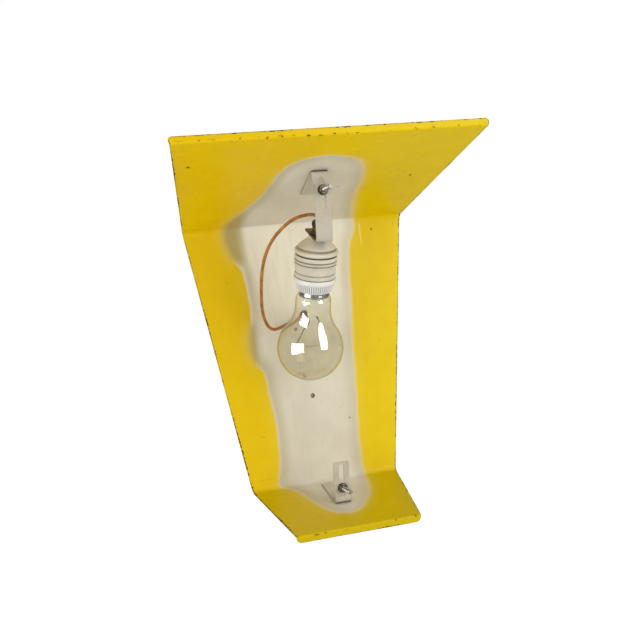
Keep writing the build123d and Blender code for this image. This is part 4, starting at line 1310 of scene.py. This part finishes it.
# lead wires: x across the lamp, distance along it
LEFT_LEAD = [(-2.1, 78.5), (-2.6, 82.0), (-5.2, 85.0), (-9.0, 93.0), (-12.6, 100.6),
             (-13.2, 102.3)]
RIGHT_LEAD = [(2.1, 75.0), (4.6, 76.6), (7.2, 84.2), (8.8, 92.0), (11.3, 99.9), (11.8, 101.5)]
# lumpy beads on the right lead: (x, s) start, (x, s) end, radius
BEADS = [((4.3, 75.2), (5.1, 78.4), 0.95), ((6.7, 82.6), (7.5, 86.2), 1.20)]


def bead(start, end, radius):
    count = 9
    (x0, s0), (x1, s1) = start, end
    along = (lamp_point(x1, s1) - lamp_point(x0, s0)).normalized()
    rings = []
    for k in range(count):
        q = k / (count - 1)
        centre = lamp_point(x0 + (x1 - x0) * q, s0 + (s1 - s0) * q)
        lump = 1 + 0.12 * math.sin(5.0 * k)
        r = max(0.12, radius * math.sqrt(max(0.0, 1 - (2 * q - 1) ** 2)) * lump)
        rings.append(circle(Shaft(centre, along, lamp_rear), 0, 14, r))
    return capped_loft(rings)


def lead_wires():
    shapes = []
    for lead in (LEFT_LEAD, RIGHT_LEAD):
        shapes.append(tube(spline([lamp_point(x, s) for x, s in lead], 0.0006), 0.40, 10))
        # a thicker clamp grips the end of the filament
        x, s = lead[-1]
        shapes.append(tube([lamp_point(x, s + d) for d in (-1.2, -1.0, 0.4, 0.6)], 0.52, 10))
    shapes += [bead(*entry) for entry in BEADS]
    make("bulb_lead_wires", merged(shapes), WIRE, "bulb", "lead_wires", 50)


# filament's centre line: x across, distance along, distance to the rear
FILAMENT = [(-13.0, 102.1, 0), (-8.5, 104.0, 0.8), (-3.0, 104.9, 1.4), (3.0, 104.6, 1.4),
            (8.0, 103.4, 0.8), (11.6, 101.4, 0)]


def filament():
    step, turn_length = 0.00004, 0.00050        # metres
    coil_radius, wire_radius = 0.24, 0.09
    path = [Vector(p) for p in spline([lamp_point(*p) for p in FILAMENT], step)]
    coil = []
    for i, point in enumerate(path):
        along = (path[min(len(path) - 1, i + 1)] - path[max(0, i - 1)]).normalized()
        across = (lamp_rear - along * along.dot(lamp_rear)).normalized()
        side = along.cross(across)
        a = 2 * math.pi * (i * step) / turn_length
        coil.append(point + (across * math.cos(a) + side * math.sin(a)) * coil_radius * MM)
    make("bulb_filament_coil", tube(coil, wire_radius, 5), WIRE, "bulb", "filament", 60)


screw_cap()
envelope()
turned("bulb_glass_stem", rounded(STEM, 1.0, closed=False, steps=4), LAMP, STEM_GLASS, "bulb",
       "bulb_stem", seg=64, sharp=60, wobble=pinch)
lead_wires()
filament()

# ---------------------------------------------------------------- cable and grommet
# free run from the cord grip to the panel (x, y, z); the lower loop lies near the panel,
# which leaves the bulb room to swing
CABLE_RUN = [
    (-12.6, -87.6, 116.5), (-26.4, -80.4, 112.1), (-39.7, -69.0, 99.3), (-47.0, -53.5, 79.1),
    (-47.4, -36.0, 56.0), (-43.7, -20.3, 34.8), (-34.7, -11.4, 24.8), (-23.7, -8.8, 26.8),
    (-13.8, -8.0, 30.7), (-5.6, -7.0, 34.3)]
CABLE_RADIUS = 1.45


def cable():
    """Three lengths cut from one run of rings."""
    knots = [LAMP.origin + LAMP.along * s * MM for s in (-4.2, -6.3, -8.4, -10.5, -12.6)]
    knots.append(LAMP.origin - LAMP.along * 0.0146 - LAMP.across * 0.0005)
    knots += [Vector(p) * MM for p in CABLE_RUN]
    knots += [Vector((CABLE_X * MM, y * MM, CABLE_Z * MM)) for y in (-4.6, -3.4, -2.2, -1.2, -0.2)]
    path = [Vector(p) for p in spline(knots, 0.0009, start=-LAMP.along, end=(0, 1, 0))]
    rings = []
    for i, (centre, ring) in enumerate(zip(path, tube_rings(path, CABLE_RADIUS, 16))):
        swell = 1.0 + 0.012 * math.sin(i * 0.7) + 0.008 * math.sin(i * 0.23 + 1)
        rings.append([centre + (point - centre) * swell for point in ring])
    # the cuts are where the run first drops below these heights (metres), left of x = -0.02
    upper, lower = (next(i for i, p in enumerate(path) if p.z < z and p.x < -0.02)
                    for z in (0.099, 0.043))
    lengths = [
        ("cable_top_length", [path[:1]] + rings[:upper + 1],
         "arm_washer", "lamp_arm", (-0.038, 0, 0), (-0.014, 0, 0)),
        ("cable_middle_length", rings[upper:lower + 1],
         "top_stud", "arm_washer", (0, 0, 0.046), (0, 0, 0.096)),
        ("cable_panel_length", rings[lower:] + [path[-1:]],
         "root", "top_stud", (-0.008, 0, 0), (-0.044, 0, 0))]
    for name, part_rings, body, other_body, start, end in lengths:
        part = make(name, loft(part_rings), CABLE, node="cable", sharp=60)
        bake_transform(part)


cable()
# flange in front of the panel, collar through its hole
GROMMET_PROFILE = [
    (1.6, -0.3), (1.9, -0.05), (3.1, -0.05), (3.45, -0.4), (3.45, -1.25), (4.7, -1.25),
    (4.7, -1.8), (4.1, -2.4), (2.9, -2.7), (2.2, -2.7), (1.6, -2.1)]
turned("rubber_grommet", rounded(GROMMET_PROFILE, 0.25), GROMMET, RUBBER, "root",
       "cable_grommet", seg=64)


# ---------------------------------------------------------------- floor and world
WHITE = (1, 1, 1, 1)


def stage_surface(name, points, material):
    """One flat face that belongs to the stage, points in metres."""
    mesh = bpy.data.meshes.new(name)
    mesh.from_pydata(points, [], [tuple(range(len(points)))])
    mesh.materials.append(material)
    surface = bpy.data.objects.new(name, mesh)
    scene.collection.objects.link(surface)
    return surface


def floor_material():
    """Pale floor, mostly self-lit; brightest where it is seen directly or through glass."""
    t = material_tree("pale_floor")
    rays = t.rays()
    seen = t.max(rays["Is Camera Ray"], rays["Is Transmission Ray"])
    unseen_glow = t.mix_value(rays["Is Glossy Ray"], 0.85, 0.20)
    glow = t.emission(WHITE, t.mix_value(seen, unseen_glow, 1.26))
    tone = t.mask(t.coords(), grain=(3.0, 3, 0.5), ramp=(0.3, 0.7))
    matt = t.principled(
        Base_Color=t.mix(tone, (0.86, 0.855, 0.845), (0.90, 0.895, 0.885)), Roughness=0.9)
    return t.finish(t.mix_shader(0.75, matt, glow))


def studio_world():
    """White to the camera, dim in reflections, a soft gradient for diffuse light."""
    world = bpy.data.worlds.new("studio")
    scene.world = world
    t = Tree(world, "ShaderNodeOutputWorld")

    def background(colour, strength):
        return t.node("Background", {0: colour, 1: strength}).outputs[0]

    rays = t.rays()
    height = t.part(t.coords("Generated"), 2)
    # strength falls from 0.84 below the horizon to 0.34 above it
    gradient = t.node("MapRange", {0: height, 1: -0.4, 2: 0.7, 3: 0.84, 4: 0.34}).outputs[0]
    lighting = t.mix_shader(rays["Is Glossy Ray"], background((1.0, 0.995, 0.985), gradient),
                            background((0.98, 0.99, 1), 0.16))
    seen = t.max(rays["Is Camera Ray"], rays["Is Transmission Ray"])
    t.finish(t.mix_shader(seen, lighting, background(WHITE, 1.0)))


lo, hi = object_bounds()
floor_z = lo.z - 0.55 * (hi.z - lo.z)
stage_surface("floor", [(x, y, floor_z) for x, y in ((-6, -6), (6, -6), (6, 6), (-6, 6))],
              floor_material())
studio_world()


# ---------------------------------------------------------------- camera
def pose(x, y, z, position):
    """World matrix from three axes and a position in metres."""
    matrix = Matrix.Identity(4)
    for i in range(3):
        matrix[i][0], matrix[i][1], matrix[i][2], matrix[i][3] = x[i], y[i], z[i], position[i]
    return matrix


# The view turns the frame into axes right, down and forward, then shifts it (mm); its
# origin is one sheet thickness behind the frame's.
VIEW_TURNS = (("Z", -6.6604), ("Y", -15.7921), ("X", -1.3547))      # degrees
VIEW_SHIFT = Vector((-9.4088, 29.8276, 894.0308))
view = Matrix.Identity(3)
for axis, degrees in VIEW_TURNS:
    view = view @ Matrix.Rotation(math.radians(degrees), 3, axis)
view = view @ Matrix(((1, 0, 0), (0, 0, -1), (0, 1, 0)))
camera_place = -(view.transposed() @ VIEW_SHIFT) - Vector((0, SHEET, 0))
view_right, view_up, view_back = Vector(view[0]), -Vector(view[1]), -Vector(view[2])

camera_data = bpy.data.cameras.new("camera")
camera = bpy.data.objects.new("camera", camera_data)
scene.collection.objects.link(camera)
camera.matrix_world = pose(view_right, view_up, view_back, [c * MM for c in camera_place])
camera_data.sensor_width = 36.0
camera_data.lens = 53.58913875
camera_data.clip_start = 0.02
camera_data.clip_end = 50
scene.camera = camera


# ---------------------------------------------------------------- lights
def facing_bulb(azimuth, elevation, distance):
    """Pose towards the bulb, degrees right of and above the line of sight, metres away."""
    a, e = math.radians(azimuth), math.radians(elevation)
    away = (view_right * math.sin(a) * math.cos(e) + view_up * math.sin(e)
            + view_back * math.cos(a) * math.cos(e)).normalized()
    x = view_up.cross(away).normalized()
    return pose(x, away.cross(x), away, lamp_point(0, BULB_CENTRE) + away * distance)


def softbox(name, width, height, power, matrix):
    light = bpy.data.lights.new(name, "AREA")
    light.shape = "RECTANGLE"
    light.size = width
    light.size_y = height
    light.energy = power
    lamp = bpy.data.objects.new(name, light)
    scene.collection.objects.link(lamp)
    lamp.matrix_world = matrix


def mirrored_material(name):
    """Glows only in sharp reflections, and far less after passing through glass."""
    t = material_tree(name)
    rays = t.rays()
    sharp_only = t.mul(rays["Is Singular Ray"], rays["Is Reflection Ray"])
    first = t.step(rays["Transmission Depth"], ramp=(0.4, 0.6), to=(1.0, 0.07))
    glow = t.emission(WHITE, t.mul(first, 30.0))
    return t.finish(t.mix_shader(sharp_only, t.clear(WHITE), glow))


def mirrored_shape(name, width, height, matrix):
    """A bright rectangle that only polished surfaces mirror."""
    x, y = width / 2, height / 2
    shape = stage_surface(name, [(-x, -y, 0), (x, -y, 0), (x, y, 0), (-x, y, 0)],
                          mirrored_material(name))
    shape.matrix_world = matrix
    shape.visible_camera = False
    shape.visible_diffuse = False
    shape.visible_shadow = False
    shape.visible_volume_scatter = False
    shape.visible_transmission = False


softbox("left_window", width=1.05, height=0.80, power=5.0,
        matrix=facing_bulb(azimuth=-44, elevation=-5, distance=1.25))
softbox("right_strip", width=0.62, height=1.7, power=9.0,
        matrix=facing_bulb(azimuth=47, elevation=30, distance=1.35))
mirrored_shape("left_window_shape", width=1.0, height=0.74,
               matrix=facing_bulb(azimuth=-44, elevation=-5, distance=1.2))
mirrored_shape("right_strip_shape", width=0.60, height=1.70,
               matrix=facing_bulb(azimuth=49, elevation=25, distance=1.3))

# ---------------------------------------------------------------- painted shade behind the holes
SHADE_DISC_Y = 0.0022      # metres


def painted_shade_material():
    """Painted shade seen through the holes: dark from the front, clear from behind; a paler middle
    behind the two small holes.
    """
    t = material_tree("painted_shade_behind_holes")
    solid = t.coords()
    middles = []
    for x, z, radius in HOLES[1:]:
        reach = t.distance(solid, (x * MM, SHADE_DISC_Y, z * MM))
        reach = t.add(reach, t.mul(t.noise(solid, grain=(900, 2, 0.6)), 0.0006))
        middles.append(t.step(reach, ramp=(radius * 0.75 * MM, radius * 0.50 * MM)))
    dark = t.mix(t.noise(solid, grain=(700, 3, 0.6)), (0.075, 0.062, 0.043), (0.15, 0.125, 0.088))
    colour = t.mix(reduce(t.max, middles), dark, (0.335, 0.30, 0.225))
    backfacing = t.node("NewGeometry").outputs["Backfacing"]
    passes = t.max(backfacing, t.rays()["Is Shadow Ray"])
    return t.finish(t.mix_shader(passes, t.emission(colour, 1.0), t.clear(WHITE)))


painted_shade_disc = painted_shade_material()
# discs of painted shade behind each hole
for k, (x, z, radius) in enumerate(HOLES):
    stage_surface(f"gap{k}", hole_ring(x, z, radius + 2.6, SHADE_DISC_Y, 32), painted_shade_disc)

# ---------------------------------------------------------------- colour
scene.view_settings.view_transform = "Standard"
scene.view_settings.look = "None"
scene.view_settings.exposure = 0.0
scene.view_settings.gamma = 1.0
